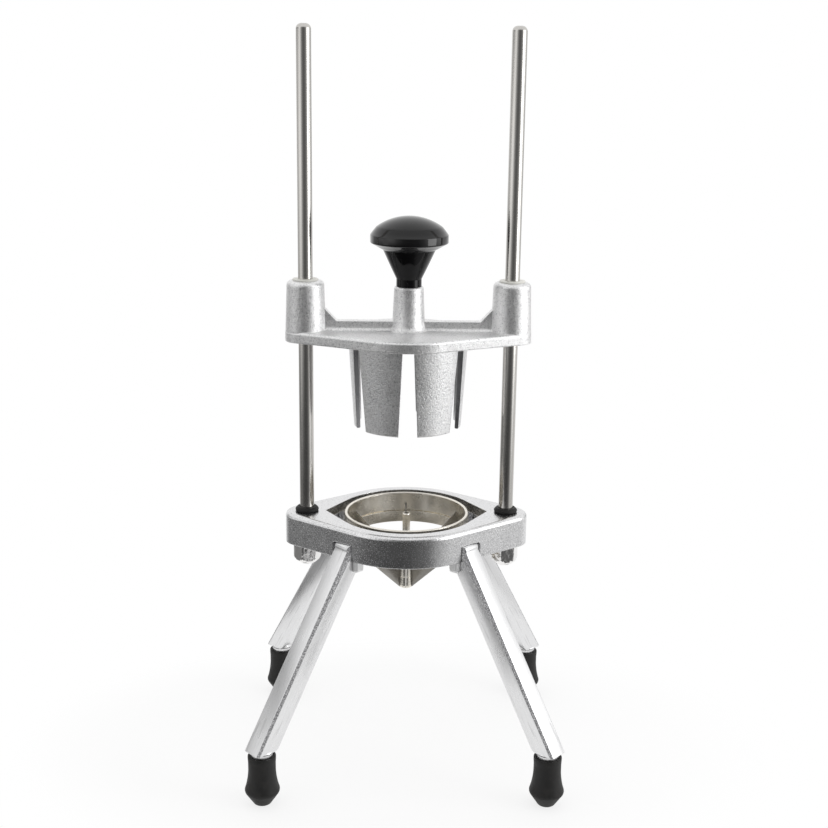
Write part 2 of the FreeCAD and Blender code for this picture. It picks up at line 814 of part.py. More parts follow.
def pusher_head():
    plate = head_outline(head_bottom).extrude(Vector(0, 0, head_plate))
    top = head_bottom + head_plate
    plate = rounded(plate, head_top_round, lambda edge: spans(edge, top, top))
    plate = rounded(plate, head_bottom_round, lambda edge: spans(edge, head_bottom, head_bottom))
    head = fused([plate, fingers(), knob_boss(), centre_rib(), rib_root(), guide_boss(-1), guide_boss(1)])
    for side in (-1, 1):
        x = side * half_spacing
        head = head.cut(cylinder(bush_outer_diameter / 2, guide_height + 2, x, 0, head_bottom - 1))
        head = head.cut(cylinder(bush_flange_diameter / 2, bush_flange + 1, x, 0, head_bottom - 1))
    stud_bottom = knob_bottom - stud_length / 2
    return head.cut(cylinder(stud_diameter / 2, stud_length, z=stud_bottom))


def guide_bush(side, upper):
    """A flanged bush, seated in the top or the bottom of a guide boss."""
    x = side * half_spacing
    boss_top = head_bottom + guide_height
    sleeve_z = boss_top - bush_length if upper else head_bottom + bush_flange - 0.5
    flange_z = boss_top if upper else head_bottom
    bush = fused([
        cylinder(bush_outer_diameter / 2, bush_length + 0.5, x, 0, sleeve_z),
        cylinder(bush_flange_diameter / 2, bush_flange, x, 0, flange_z),
    ])
    return bush.cut(cylinder(bush_bore / 2, bush_length + 6, x, 0, sleeve_z - 3))


# Knob -----------------------------------------------------------------------------------------

def crown_height(radius):
    """Height of the knob's crown at a distance from its axis."""
    drop = knob_crown_radius - math.sqrt(knob_crown_radius ** 2 - radius ** 2)
    return knob_bottom + knob_height - drop


def knob():
    """A mushroom knob: crowned top, upright rim, hollow-curved underside and a conical neck."""
    z = knob_bottom
    edge = knob_crown_edge
    bulge = knob_shoulder_bulge
    neck = knob_neck_diameter / 2
    waist = knob_cone_diameter / 2
    rim = knob_rim_diameter / 2
    body = turned([
        (0, z),
        (neck, z),
        (neck, z + knob_neck_height),
        via((neck + waist) / 2 - 0.6, z + (knob_neck_height + knob_cone_top) / 2),
        (waist, z + knob_cone_top),
        via((waist + rim) / 2 - 1.0, z + knob_cone_top + (knob_rim_bottom - knob_cone_top) * 0.36),
        (rim, z + knob_rim_bottom),
        (rim, z + knob_rim_top),
        via((rim + edge) / 2 + bulge, (z + knob_rim_top + crown_height(edge)) / 2 + bulge),
        (edge, crown_height(edge)),
        via(edge / 2, crown_height(edge / 2)),
        (0, crown_height(0)),
    ])
    body = rounded(body, knob_rim_round, lambda edge: edge.BoundBox.XLength > knob_rim_diameter - 0.1)
    return body.cut(cylinder(stud_diameter / 2, stud_length / 2 + 1, z=z - 1))


def knob_stud():
    bottom = knob_bottom - stud_length / 2
    stud = cylinder(stud_diameter / 2, stud_length, z=bottom)
    return stud.makeChamfer(0.8, [edge for edge in stud.Edges if edge.Closed])


# Assembly -------------------------------------------------------------------------------------

def nodes():
    parts = {
        "base_casting": base_casting(),
        "blade_ring": blade_ring(),
        "retaining_ring": retaining_ring(),
        "ring_screws": ring_screws(),
        "corer_tube": corer_tube(),
        "blade_hub": blade_hub(),
        "hub_nozzle": hub_nozzle(),
        "leg_bolts": leg_bolts(),
        "pusher_head": pusher_head(),
        "knob": knob(),
        "knob_stud": knob_stud(),
    }
    for index, angle in enumerate(blade_angles(), start=1):
        parts[f"blade_{index}"] = blade(angle)
    for name, azimuth in leg_positions():
        parts[f"leg_{name}"] = leg(azimuth)
        parts[f"rubber_foot_{name}"] = rubber_foot(azimuth)
    for name, side in (("left", -1), ("right", 1)):
        parts[f"guide_rod_{name}"] = guide_rod(side)
        parts[f"rod_bumper_{name}"] = rod_bumper(side)
        parts[f"cap_nut_{name}"] = cap_nut(side)
        parts[f"guide_bush_{name}_upper"] = guide_bush(side, True)
        parts[f"guide_bush_{name}_lower"] = guide_bush(side, False)
    return parts


def main():
    os.makedirs("parts", exist_ok=True)
    for name, shape in nodes().items():
        if not shape.isValid():
            raise ValueError(f"{name} is not a valid shape")
        shape.exportStep(f"parts/{name}.step")
        print(f"{name}: {len(shape.Solids)} solid(s), {shape.Volume / 1000:.2f} cm3")


main()
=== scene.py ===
"""Looks of a fruit slicer press: a fingered head on two rods over a ring of blades.

Metres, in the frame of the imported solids: soles on z = 0, X from rod to rod, the user at -Y.
Profiles and patterns are given in millimetres. Turned, moulded and ground pieces are built here
and stand for their solids. Castings and rings keep the solids and get their finishes.
"""

import cmath
from math import cos, hypot, pi, radians, sin, sqrt, tan, tau

import bmesh
import bpy
from bpy.props import FloatProperty, FloatVectorProperty, IntProperty, PointerProperty
from bpy.types import Operator, Panel, PropertyGroup
from mathutils import Matrix, Vector


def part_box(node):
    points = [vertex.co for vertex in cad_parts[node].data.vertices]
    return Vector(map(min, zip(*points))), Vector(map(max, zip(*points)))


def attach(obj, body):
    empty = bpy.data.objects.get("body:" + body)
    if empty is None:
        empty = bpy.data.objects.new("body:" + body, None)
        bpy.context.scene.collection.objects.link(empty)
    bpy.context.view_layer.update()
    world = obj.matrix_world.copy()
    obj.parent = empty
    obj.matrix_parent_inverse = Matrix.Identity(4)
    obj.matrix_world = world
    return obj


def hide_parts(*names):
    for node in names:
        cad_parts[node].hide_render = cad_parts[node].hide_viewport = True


bl_info = {
    "name": "Fruit slicer press",
    "version": (1, 0, 0),
    "blender": (4, 5, 0),
    "location": "View3D > Sidebar > Press",
    "description": "Builds the pieces and finishes of a hand press that cuts fruit into wedges",
    "category": "Object",
}

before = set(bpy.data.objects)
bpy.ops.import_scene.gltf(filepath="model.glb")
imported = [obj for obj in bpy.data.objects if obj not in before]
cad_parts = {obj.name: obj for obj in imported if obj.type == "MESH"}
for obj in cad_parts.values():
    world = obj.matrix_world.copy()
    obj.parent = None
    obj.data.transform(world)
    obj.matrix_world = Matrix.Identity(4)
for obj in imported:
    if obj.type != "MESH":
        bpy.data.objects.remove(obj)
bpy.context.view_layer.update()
MM = 0.001
WHITE = (1.0, 1.0, 1.0)
SIDES = ("left", "right")
CORNERS = ("front_left", "front_right", "rear_left", "rear_right")
HUB_RADIUS = 5.3
HUB_DEPTH = 48.5  # from the top of the blade ring to the joint of hub and nozzle


def middle_of(node):
    """The middle of a node's box, in metres."""
    low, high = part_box(node)
    return (low + high) / 2


def heights(node):
    """The lowest and highest point of a node, in millimetres."""
    low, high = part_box(node)
    return low.z / MM, high.z / MM


def each(node, places):
    """The names of like nodes."""
    return [f"{node}_{place}" for place in places]


# Sizes and colours

def property_of(make, scale=None, **fixed):
    """Makes properties of one kind, from a name, a description and a default."""
    def made(name, description, default):
        default = default * scale if scale else default
        return make(name=name, description=description, default=default, **fixed)
    return made


length = property_of(FloatProperty, MM, min=0.0, precision=5, unit="LENGTH")
angle = property_of(FloatProperty, pi / 180, subtype="ANGLE")
number = property_of(FloatProperty, min=1.0)
power = property_of(FloatProperty, min=0.0, unit="POWER")
share = property_of(FloatProperty, min=0.0, max=1.0, subtype="FACTOR")
colour = property_of(FloatVectorProperty, size=3, min=0.0, max=1.0, subtype="COLOR")
point = property_of(FloatVectorProperty, size=3, subtype="TRANSLATION")


class PressCastings(PropertyGroup):
    colour: colour("Colour", "Tumbled aluminium base", (0.77, 0.77, 0.775))
    head_colour: colour("Head colour", "Blasted aluminium head", (0.85, 0.85, 0.85))
    pit_colour: colour("Pit colour", "Darker metal in the grain", (0.42, 0.42, 0.43))
    # Paints rubbed wear, scuffs and filed metal, and also painted highlights on the edges and painted
    # glints in the grain.
    edge_colour: colour("Edge colour", "Edges rubbed bright", (0.95, 0.95, 0.95))
    # Painted shade: this dark colour stands in for the shade that the fingers cast on each other's walls.
    slot_colour: colour("Slot colour", "Milled walls between the fingers", (0.30, 0.30, 0.31))
    grain: length("Grain", "Grain size on the base", 0.6)
    head_grain: length("Head grain", "Grain size on the head", 0.75)
    edge: length("Edge", "Width of the rubbed edges", 0.7)
    skirt_edge: length("Skirt edge", "Height of the lower edge of the skirt", 158.6)
    slot_top: length("Slot top", "Slot width under the plate", 8.0)
    slot_bottom: length("Slot bottom", "Slot width at the finger tips", 12.8)
    plate_bottom: length("Plate bottom", "Height of the plate's underside", 302.9)
    finger_length: length("Finger length", "From the plate to the finger tips", 58.8)
    base_roughness: share("Base roughness", "Roughness of the tumbled base", 0.2)
    base_relief: length("Base relief", "Depth of the grain on the base", 0.07)
    head_relief: length("Head relief", "Depth of the grain on the head", 0.28)
    head_roughness: share("Head roughness", "Roughness of the blasted head", 0.38)


class PressLegs(PropertyGroup):
    colour: colour("Colour", "Ground aluminium faces", (0.88, 0.88, 0.885))
    # Painted reflection: the dark colour is cast skin and also stands in for the dark room that the
    # chamfers reflect.
    chamfer_colour: colour("Chamfer colour", "Cast skin on the edge chamfers", (0.30, 0.30, 0.31))
    azimuth: angle("Azimuth", "From the X axis to a leg", 41.65)
    lean: angle("Lean", "Tilt of a leg from the vertical", 31.84)
    width: length("Width", "Width of the bar", 16.0)
    depth: length("Depth", "Thickness of the bar", 14.0)
    end_offset: length("End offset", "From the foot's middle to the bar's", 1.2)
    chamfer: length("Chamfer", "Chamfer width at the foot", 1.6)
    top_chamfer: length("Top chamfer", "Chamfer width on the sides at the top", 4.6)
    widening: share("Widening", "Part of the leg where the chamfers widen", 0.46)
    foot_gap: length("Foot gap", "Spigot that shows above the foot", 3.4)
    seat: length("Seat", "From the middle to the leg's seat", 52.5)
    head_face: length("Head face", "From the middle to the upright top face", 60.0)
    spigot: length("Spigot", "Diameter of the spigot in the foot", 15.2)
    scratch: length("Scratch", "Spacing of the grinding scratches", 0.6)


class PressRods(PropertyGroup):
    colour: colour("Colour", "Polished steel bar", (0.60, 0.585, 0.56))
    diameter: length("Diameter", "Diameter of the bar", 10.0)
    tip_round: length("Tip round", "Rounding of the upper tips", 3.6)
    spacing: length("Spacing", "Between the middles of the rods", 2 * middle_of("guide_rod_right").x / MM)


class PressNuts(PropertyGroup):
    colour: colour("Colour", "Bright plated cap nuts", (0.92, 0.91, 0.90))
    flats: length("Across flats", "Width of the hexagon", 17.0)
    height: length("Height", "Height with the dome", 17.5)
    turn: angle("Turn", "From the X axis to a corner", 11.0)


class PressRubber(PropertyGroup):
    colour: colour("Colour", "Black rubber", (0.008, 0.0078, 0.0075))
    bloom: colour("Bloom", "Paler film on the rubber's skin", (0.019, 0.018, 0.017))
    bumper_diameter: length("Bumper diameter", "Outside of the ring round a rod", 16.4)


class PressBushes(PropertyGroup):
    colour: colour("Colour", "Natural white nylon", (0.83, 0.82, 0.77))
    flange_diameter: length("Flange diameter", "Diameter of the flange", 17.5)
    diameter: length("Diameter", "Diameter of the sleeve", 14.0)
    bore: length("Bore", "Diameter of the bore", 10.1)
    sleeve: length("Sleeve", "Length of the sleeve in its boss", 14.0)


class PressKnob(PropertyGroup):
    colour: colour("Colour", "Glossy black moulding", (0.004, 0.004, 0.0045))
    rim_diameter: length("Rim diameter", "Diameter of the rim", 53.0)
    neck_diameter: length("Neck diameter", "Diameter of the neck", 17.2)
    cone_diameter: length("Cone diameter", "Diameter of the cone's top", 35.6)
    crown_radius: length("Crown radius", "Radius of the crown's curve", 38.0)
    height: length("Height", "From the neck to the crown", 47.4)


class PressBlades(PropertyGroup):
    colour: colour("Colour", "Ground blade steel", (0.50, 0.48, 0.445))
    bevel_colour: colour("Bevel colour", "Stoned cutting bevel", (0.74, 0.73, 0.71))
    count: IntProperty(name="Count", description="Number of blades", default=6, min=2)
    thickness: length("Thickness", "Thickness of a blade", 1.0)
    bevel: length("Bevel", "Width of the cutting bevel", 2.6)
    slope: angle("Slope", "Fall of the cutting edge to the hub", 39.5)


class PressRings(PropertyGroup):
    colour: colour("Colour", "Turned stainless steel", (0.87, 0.83, 0.75))
    roughness: share("Roughness", "Roughness of the turned faces", 0.2)


class PressScrews(PropertyGroup):
    colour: colour("Colour", "Zinc-plated screws", (0.62, 0.62, 0.63))


class PressStage(PropertyGroup):
    floor_width: length("Floor width", "Width of the table top", 640)
    floor_depth: length("Floor depth", "Depth of the table top", 420)
    floor_colour: colour("Floor colour", "White table top", (0.93, 0.93, 0.93))
    shade: share("Shade", "Share of the shadow that shows", 0.22)
    brightest: number("Brightest", "Radiance of the brightest wall", 1.8)
    softbox_power: power("Soft box power", "Power of the soft box on the right", 4.0)
    lens: number("Lens", "Focal length in millimetres", 59.62)
    pitch: angle("Pitch", "How far the camera looks down", 14.66)
    roll: angle("Roll", "Turn about the line of sight", 0.72)
    yaw: angle("Yaw", "Turn to the right", 0.91)
    eye: point("Eye", "Place of the camera", (-0.01009, -0.91964, 0.49178))


SETTINGS = {f"press_{group.__name__[5:].lower()}": group for group in (
    PressCastings, PressLegs, PressRods, PressNuts, PressRubber, PressBushes, PressKnob, PressBlades,
    PressRings, PressScrews, PressStage)}


# Node graphs

def maths(operation, reflected=False):
    """A method that joins a signal and another value in a Math node."""
    def method(self, other=0):
        first, second = (other, self) if reflected else (self, other)
        return self.graph.maths(operation, first, second)
    return method


class Signal:
    """A node's output that takes part in Python expressions."""

    __add__ = maths("ADD")
    __radd__ = maths("ADD", reflected=True)
    __sub__ = maths("SUBTRACT")
    __rsub__ = maths("SUBTRACT", reflected=True)
    __mul__ = maths("MULTIPLY")
    __rmul__ = maths("MULTIPLY", reflected=True)
    __abs__ = maths("ABSOLUTE")
    at_least = maths("MAXIMUM")
    at_most = maths("MINIMUM")

    def __init__(self, graph, socket):
        self.graph = graph
        self.socket = socket


class Graph:
    """A node tree, emptied, and the one way in which its nodes are made."""

    def __init__(self, tree):
        self.tree = tree
        tree.nodes.clear()

    def node(self, kind, settings=None, inputs=None, output=0):
        made = self.tree.nodes.new(kind)
        for key, value in (settings or {}).items():
            if key == "stops":
                self.fill_ramp(made.color_ramp, value)
            else:
                setattr(made, key, value)
        for key, value in (inputs or {}).items():
            if isinstance(value, Signal):
                self.tree.links.new(value.socket, made.inputs[key])
            else:
                made.inputs[key].default_value = value
        return Signal(self, made.outputs[output]) if made.outputs else None

    @staticmethod
    def fill_ramp(ramp, stops):
        while len(ramp.elements) < len(stops):
            ramp.elements.new(1.0)
        for element, (position, shade) in zip(ramp.elements, stops):
            element.position = position
            element.color = (*shade, 1.0)

    def maths(self, operation, first, second=0):
        return self.node("ShaderNodeMath", {"operation": operation}, {0: first, 1: second})

    def vector_maths(self, operation, inputs, output=0):
        return self.node("ShaderNodeVectorMath", {"operation": operation}, inputs, output)

    def other(self, signal, name):
        """Another output of the node that a signal comes from."""
        return Signal(self, signal.socket.node.outputs[name])

    def place(self, kind="Object"):
        return self.node("ShaderNodeTexCoord", None, None, kind)

    def components(self, vector):
        x = self.node("ShaderNodeSeparateXYZ", None, {"Vector": vector}, "X")
        return x, self.other(x, "Y"), self.other(x, "Z")

    def vector(self, x, y, z):
        return self.node("ShaderNodeCombineXYZ", None, {"X": x, "Y": y, "Z": z})

    def reach(self, x, y):
        """The distance of a place from the vertical axis."""
        return self.vector_maths("LENGTH", {0: self.vector(x, y, 0.0)}, "Value")

    def step(self, value, low, high):
        """0 below low, 1 above high and smooth between them."""
        return self.node("ShaderNodeMapRange", {"interpolation_type": "SMOOTHSTEP"},
                         {"Value": value, "From Min": low, "From Max": high})

    def blend(self, factor, first, second):
        """A mix of two colours."""
        return self.node("ShaderNodeMix", {"data_type": "RGBA"},
                         {"Factor": factor, 6: self.opaque(first), 7: self.opaque(second)}, 2)

    @staticmethod
    def opaque(shade):
        return shade if isinstance(shade, Signal) else (*shade, 1.0)


def dimmed(shade, level):
    return [value * level for value in shade]


class Finish(Graph):
    """A metal, rubber or plastic finish on object coordinates. Its sizes are in millimetres."""

    def __init__(self, name):
        self.material = bpy.data.materials.new(name)
        self.material.use_nodes = True
        super().__init__(self.material.node_tree)
        self.at = self.place()

    def noise(self, size, detail=3.0, roughness=0.5, stretch=None, at=None):
        """Noise from 0 to 1 whose patches are about as large as size."""
        at = at or self.at
        if stretch:
            at = self.node("ShaderNodeMapping", None, {"Vector": at, "Scale": stretch})
        return self.node("ShaderNodeTexNoise", None, {
            "Vector": at, "Scale": 1 / (size * MM), "Detail": detail, "Roughness": roughness})

    def cells(self, size, at=None, feature="F1"):
        return self.node("ShaderNodeTexVoronoi", {"feature": feature},
                         {"Vector": at or self.at, "Scale": 1 / (size * MM)})

    def hairlines(self, size):
        """Sparse thin curved lines."""
        bend = self.noise(size, 1.0)
        shift = self.vector(bend * 0.006, bend * -0.004, bend * 0.005)
        bent = self.vector_maths("ADD", {0: self.at, 1: shift})
        line = 1 - self.step(self.cells(size, bent, "DISTANCE_TO_EDGE"), 0.004, 0.014)
        return line * self.step(self.noise(size * 0.6, 1.0), 0.6, 0.66)

    def rubbed_edges(self, width):
        """1 along the sharp edges, where the finishes paint rubbed wear and a painted highlight, and the
        normals with those edges rounded.
        """
        rounded = self.node("ShaderNodeBevel", {"samples": 6}, {"Radius": width * MM})
        flat = self.node("ShaderNodeNewGeometry", None, None, "Normal")
        likeness = self.vector_maths("DOT_PRODUCT", {0: rounded, 1: flat}, "Value")
        return self.step(1 - likeness, 0.01, 0.14), rounded

    def marked(self, layer):
        """1 where a layer of the mesh marks its faces or points."""
        return self.node("ShaderNodeAttribute", {"attribute_name": layer}, None, "Fac")

    def bump(self, height, depth, strength=1.0, normal=None):
        sockets = {"Height": height, "Distance": depth * MM, "Strength": strength}
        if normal:
            sockets["Normal"] = normal
        return self.node("ShaderNodeBump", None, sockets)

    def surface(self, sockets):
        shader = self.node("ShaderNodeBsdfPrincipled", None, sockets)
        self.node("ShaderNodeOutputMaterial", None, {"Surface": shader})
        return self.material

    def stained(self, stain, shade, level):
        """A shade, dimmed to a level of itself where the stain is 1."""
        return self.blend(stain, shade, dimmed(shade, level))

    def metal(self, base, roughness, normal):
        return self.surface({
            "Base Color": base, "Metallic": 1.0, "Roughness": roughness, "Normal": normal})


# Finishes

def cast_aluminium(name, castings, shade, grain_size, roughness, relief):
    """Tumbled casting: grain with painted glints, cloudy patches, pits, hairline scuffs and rubbed edges,
    which are painted brighter as wear and as a painted highlight.

    What hangs below the skirt, the ends of the leg sockets, is filed to bare matt metal, and the
    walls of the slots between the fingers are smooth from the mill and painted dark as shade.
    """
    finish = Finish(name)
    grain = finish.noise(grain_size, roughness=0.7)
    coarse = finish.noise(grain_size * 2.2, 1.0)
    cloud = finish.noise(11)
    pits = 1 - finish.step(finish.cells(3.4), 0.08, 0.2)
    # Painted glints: bright specks in the colour stand in for light sparkling on the grain.
    painted_sparkle = finish.step(finish.noise(grain_size, 1.0), 0.6, 0.68)
    scuffs = finish.hairlines(15)
    edges, rounded = finish.rubbed_edges(castings.edge / MM)
    x, y, z = finish.components(finish.at)
    filed = 1 - finish.step(z, castings.skirt_edge - 0.6 * MM, castings.skirt_edge)
    # Painted shade: the slot walls are darkened in colour, and made smoother.
    shaded_slot_walls = slot_walls(finish, castings, x, y, z) * (1 - edges)
    dark = finish.step(1 - grain * 0.75 - coarse * 0.25 + pits * 0.1 - cloud * 0.1, 0.42, 0.62)
    base = finish.blend(dark * 0.8, shade, castings.pit_colour)
    # Real scuffs and filed metal, with painted highlights along the edges and painted glints.
    bright = (scuffs * 0.5).at_least(edges * 0.8).at_least(painted_sparkle * 0.6).at_least(filed * 0.9)
    base = finish.blend(bright, base, castings.edge_colour)
    height = (grain + coarse * 0.7 - pits * 0.2) * (1 - shaded_slot_walls * 0.8)
    rough = roughness - 0.05 + cloud * 0.1 + painted_sparkle * 0.15 + filed * 0.3 - edges * 0.06
    return finish.surface({
        "Base Color": finish.blend(shaded_slot_walls, base, castings.slot_colour),
        "Metallic": 1 - filed * 0.5,
        "Roughness": rough - shaded_slot_walls * 0.1,
        "Normal": finish.bump(height, relief / MM, 0.8, rounded),
    })


def slot_walls(finish, castings, x, y, z):
    """1 on the walls of the six slots, which run out from the middle and widen downwards."""
    gaps = [abs(x * sin(turn) - y * cos(turn)) for turn in map(radians, (30, 90, 150))]
    nearest = gaps[0].at_most(gaps[1]).at_most(gaps[2])
    plate = castings.plate_bottom
    tips = plate - castings.finger_length
    growth = (castings.slot_bottom - castings.slot_top) / 2 / castings.finger_length
    half_width = (plate - z) * growth + castings.slot_top / 2
    on_wall = 1 - finish.step(nearest - half_width, 0.1 * MM, 0.3 * MM)
    below_plate = 1 - finish.step(z, plate - 0.6 * MM, plate)
    return on_wall * below_plate * finish.step(z, tips - 2.0 * MM, tips - 1.0 * MM)


def ground_aluminium(legs):
    """Ground and buffed bar with diagonal scratches. The edge chamfers keep the cast skin, painted darker
    also as a painted dark reflection, and the edges of the ground faces are painted brighter as wear and
    as a painted highlight.
    """
    finish = Finish("ground_aluminium")
    x, y, z = finish.components(finish.at)
    cosine = cos(legs.azimuth)
    sine = sin(legs.azimuth)
    out = abs(x) * cosine + abs(y) * sine
    across = abs(y) * cosine - abs(x) * sine
    # The chamfers, whose cast skin is painted dark, partly as a painted dark reflection.
    chamfer = finish.marked("cast_skin")
    diagonal = finish.vector(out + z * 0.62, across * 0.5, z - out * 0.62)
    scratch = finish.noise(legs.scratch / MM, 3.0, 0.7, (1.0, 1.0, 0.045), diagonal)
    deep = finish.step(finish.noise(1.5, 1.0, 0.5, (1.0, 1.0, 0.05), diagonal), 0.64, 0.72)
    cloud = finish.noise(14)
    grain = finish.noise(0.8, 2.0, 0.65)
    edges, rounded = finish.rubbed_edges(0.4)
    ground = finish.stained(scratch * 0.5 + cloud * 0.1, legs.colour, 0.66)
    ground = finish.blend(deep * 0.35, ground, dimmed(legs.colour, 0.5))
    # Painted reflection: the cast skin's dark colour also stands in for the dark room that the chamfers
    # reflect.
    cast = finish.blend(finish.step(grain, 0.42, 0.66), legs.chamfer_colour, legs.colour)
    base = finish.blend(chamfer, ground, cast)
    smooth = 1 - chamfer
    height = scratch * smooth * 0.35 + grain * chamfer - deep * smooth * 0.2
    return finish.surface({
        # Painted highlight: the edges of the ground faces are painted brighter, as wear and as a
        # highlight.
        "Base Color": finish.blend(edges * smooth * 0.4, base, (0.95, 0.95, 0.95)),
        "Metallic": 1 - chamfer * 0.6,
        "Roughness": 0.18 + cloud * 0.08 + scratch * 0.14 + chamfer * 0.16,
        "Normal": finish.bump(height, 0.14, 0.9, rounded),
    })


def polished_bar(shade):
    """Polished round bar with faint rings left by the lathe and long soft streaks."""
    finish = Finish("polished_bar")
    rings = finish.noise(0.35, 1.0, stretch=(0.02, 0.02, 1.0))
    streak = finish.noise(3.0, 2.0, stretch=(1.0, 1.0, 0.03))
    stain = finish.noise(22)
    base = finish.stained(streak * 0.45, shade, 0.8)
    return finish.metal(base, 0.13 + stain * 0.08 + rings * 0.05, finish.bump(rings, 0.02, 0.25))


def plated(shade):
    """Bright plating, wavy over the metal below."""
    finish = Finish("bright_plating")
    wave = finish.noise(3.0, 2.0)
    haze = finish.noise(5.0)
    base = finish.stained(haze * 0.3, shade, 0.8)
    return finish.metal(base, 0.03 + haze * 0.08, finish.bump(wave, 0.5, 0.9))


def zinc_plate(name, shade):
    """Dull zinc plating with a crystalline mottle."""
    finish = Finish(name)
    mottle = finish.cells(1.1)
    base = finish.stained(mottle, shade, 0.72)
    return finish.metal(base, 0.28 + mottle * 0.12, finish.bump(mottle, 0.03, 0.3))


def turned_steel(shade, roughness):
    """Stainless steel with fine rings round the vertical axis and a warm cast."""
    finish = Finish("turned_steel")
    x, y, z = finish.components(finish.at)
    rings = finish.noise(0.3, 2.0, at=finish.vector(finish.reach(x, y), 0.0, z))
    haze = finish.noise(7.0)
    edges, rounded = finish.rubbed_edges(0.4)
    base = finish.stained(haze * 0.6, shade, 0.8)
    # Painted highlight: the edges are painted brighter, as wear and as a highlight.
    base = finish.blend(edges * 0.6, base, (0.88, 0.87, 0.85))
    roughness = roughness - 0.04 + haze * 0.12 + rings * 0.08
    return finish.metal(base, roughness, finish.bump(rings, 0.03, 0.35, rounded))


def blade_steel(blades):
    """Ground blade faces with crosswise scratches. The stoned bevel along the edge is brighter."""
    finish = Finish("blade_steel")
    scratch = finish.noise(0.4, roughness=0.7, stretch=(0.2, 0.2, 1.0))
    haze = finish.noise(6.0)
    edge = finish.marked("bevel")
    base = finish.stained(haze * 0.5, blades.colour, 0.65)
    base = finish.blend(edge, base, blades.bevel_colour)
    roughness = 0.22 + haze * 0.12 + scratch * 0.06 - edge * 0.1
    return finish.metal(base, roughness, finish.bump(scratch, 0.04, 0.35))


def moulded_rubber(name, rubber):
    """Matte black rubber with a mottled skin and a paler film where it is rubbed."""
    finish = Finish(name)
    skin = finish.noise(0.9, roughness=0.6)
    film = finish.step(finish.noise(6.0), 0.42, 0.7)
    specks = 1 - finish.step(finish.cells(2.4), 0.05, 0.12)
    base = finish.blend(film * 0.7, rubber.colour, rubber.bloom)
    return finish.surface({
        "Base Color": finish.blend(specks * 0.35, base, (0.08, 0.078, 0.075)),
        "Specular IOR Level": 0.3,
        "Roughness": 0.48 + film * 0.16 + skin * 0.1,
        "Normal": finish.bump(skin, 0.1, 0.5),
    })


def glossy_moulding(shade):
    """Deep black gloss with a trace of orange peel and handling marks. Rim and crown are polished."""
    finish = Finish("glossy_moulding")
    peel = finish.noise(2.5, 1.0)
    marks = finish.hairlines(9)
    haze = finish.noise(11)
    height = finish.components(finish.at)[2]
    rim_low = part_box("knob")[0].z + 27.0 * MM
    rim = finish.step(height, rim_low, rim_low + 2.0 * MM)
    crown = finish.step(height, rim_low + 8.0 * MM, rim_low + 11.0 * MM)
    return finish.surface({
        "Base Color": finish.blend(marks * 0.3, shade, (0.05, 0.05, 0.05)),
        "Roughness": 0.03 + haze * 0.04 + marks * 0.2,
        "Specular IOR Level": 0.22,
        "Coat Weight": rim * 0.7 - crown * 0.3,
        "Coat Roughness": 0.03,
        "Coat IOR": 1.45,
        "Normal": finish.bump(peel, 0.03, 0.2),
    })


def natural_nylon(shade):
    """Machined white nylon with fine turning rings."""
    finish = Finish("natural_nylon")
    rings = finish.noise(0.4, 2.0, stretch=(0.3, 0.3, 1.0))
    stain = finish.noise(4.0)
    return finish.surface({
        "Base Color": finish.stained(stain * 0.35, shade, 0.86),
        "Roughness": 0.42 + rings * 0.1,
        "Normal": finish.bump(rings, 0.04, 0.3),
    })


# Meshes, in millimetres

def arc(start, through, end, steps):
    """Points on the circle through three (radius, height) points, from start to end."""
    a, b, c = complex(*start), complex(*through), complex(*end)
    w = (c - a) / (b - a)
    centre = a + (b - a) * (w - abs(w) ** 2) / (2j * w.imag)
    sweep = cmath.phase((c - centre) / (a - centre))
    return pairs(centre + (a - centre) * cmath.rect(1, sweep * i / steps) for i in range(steps + 1))


def softened(points, reach, steps=4):
    """The open profile with its inner corners rounded: each gives up to reach on both sides."""
    result = [points[0]]
    for corner in zip(points, points[1:], points[2:]):
        result += rounded_corner(*corner, reach, steps)
    return result + [points[-1]]


def rounded_corner(before, corner, after, reach, steps=4):
    """Points on a curve that cuts the corner between two edges of a profile."""
    before, corner, after = complex(*before), complex(*corner), complex(*after)
    start = corner + (before - corner) * min(reach / abs(before - corner), 0.45)
    end = corner + (after - corner) * min(reach / abs(after - corner), 0.45)
    shares = [i / steps for i in range(steps + 1)]
    return pairs((1 - t) ** 2 * start + 2 * t * (1 - t) * corner + t * t * end for t in shares)


def pairs(points):
    """The (radius, height) pairs of complex numbers."""
    return [(point.real, point.imag) for point in points]


def vertex(bm, x, y, z):
    return bm.verts.new((x * MM, y * MM, z * MM))


def turned_mesh(profile, segments=96, closed=False, sharp=30, lift=0):
    """A mesh turned about the vertical from (radius, height) points, and lifted.

    An open profile starts and ends on the axis. A closed one makes a ring with a bore.
    """
    bm = bmesh.new()
    rings = []
    for radius, height in profile:
        bearings = [tau * i / segments for i in range(segments if radius > 1e-6 else 1)]
        rings.append([vertex(bm, radius * cos(turn), radius * sin(turn), height + lift)
                      for turn in bearings])
    for lower, upper in zip(rings, rings[1:] + rings[:1] if closed else rings[1:]):
        for i in range(segments):
            corners = [ring[i % len(ring)] for ring in (lower, upper)]
            corners += [ring[(i + 1) % segments % len(ring)] for ring in (upper, lower)]
            corners = list(dict.fromkeys(corners))
            if len(corners) > 2:
                bm.faces.new(corners)
    bmesh.ops.recalc_face_normals(bm, faces=bm.faces)
    return mesh_from(bm, sharp)


def skinned(bm, loops):
    """Joins loops of vertices with quads, which it gives, and closes both ends."""
    quads = []
    for lower, upper in zip(loops, loops[1:]):
        for i in range(len(lower)):
            j = (i + 1) % len(lower)
            quads.append(bm.faces.new((lower[i], lower[j], upper[j], upper[i])))
    bm.faces.new(reversed(loops[0]))
    bm.faces.new(loops[-1])
    return quads


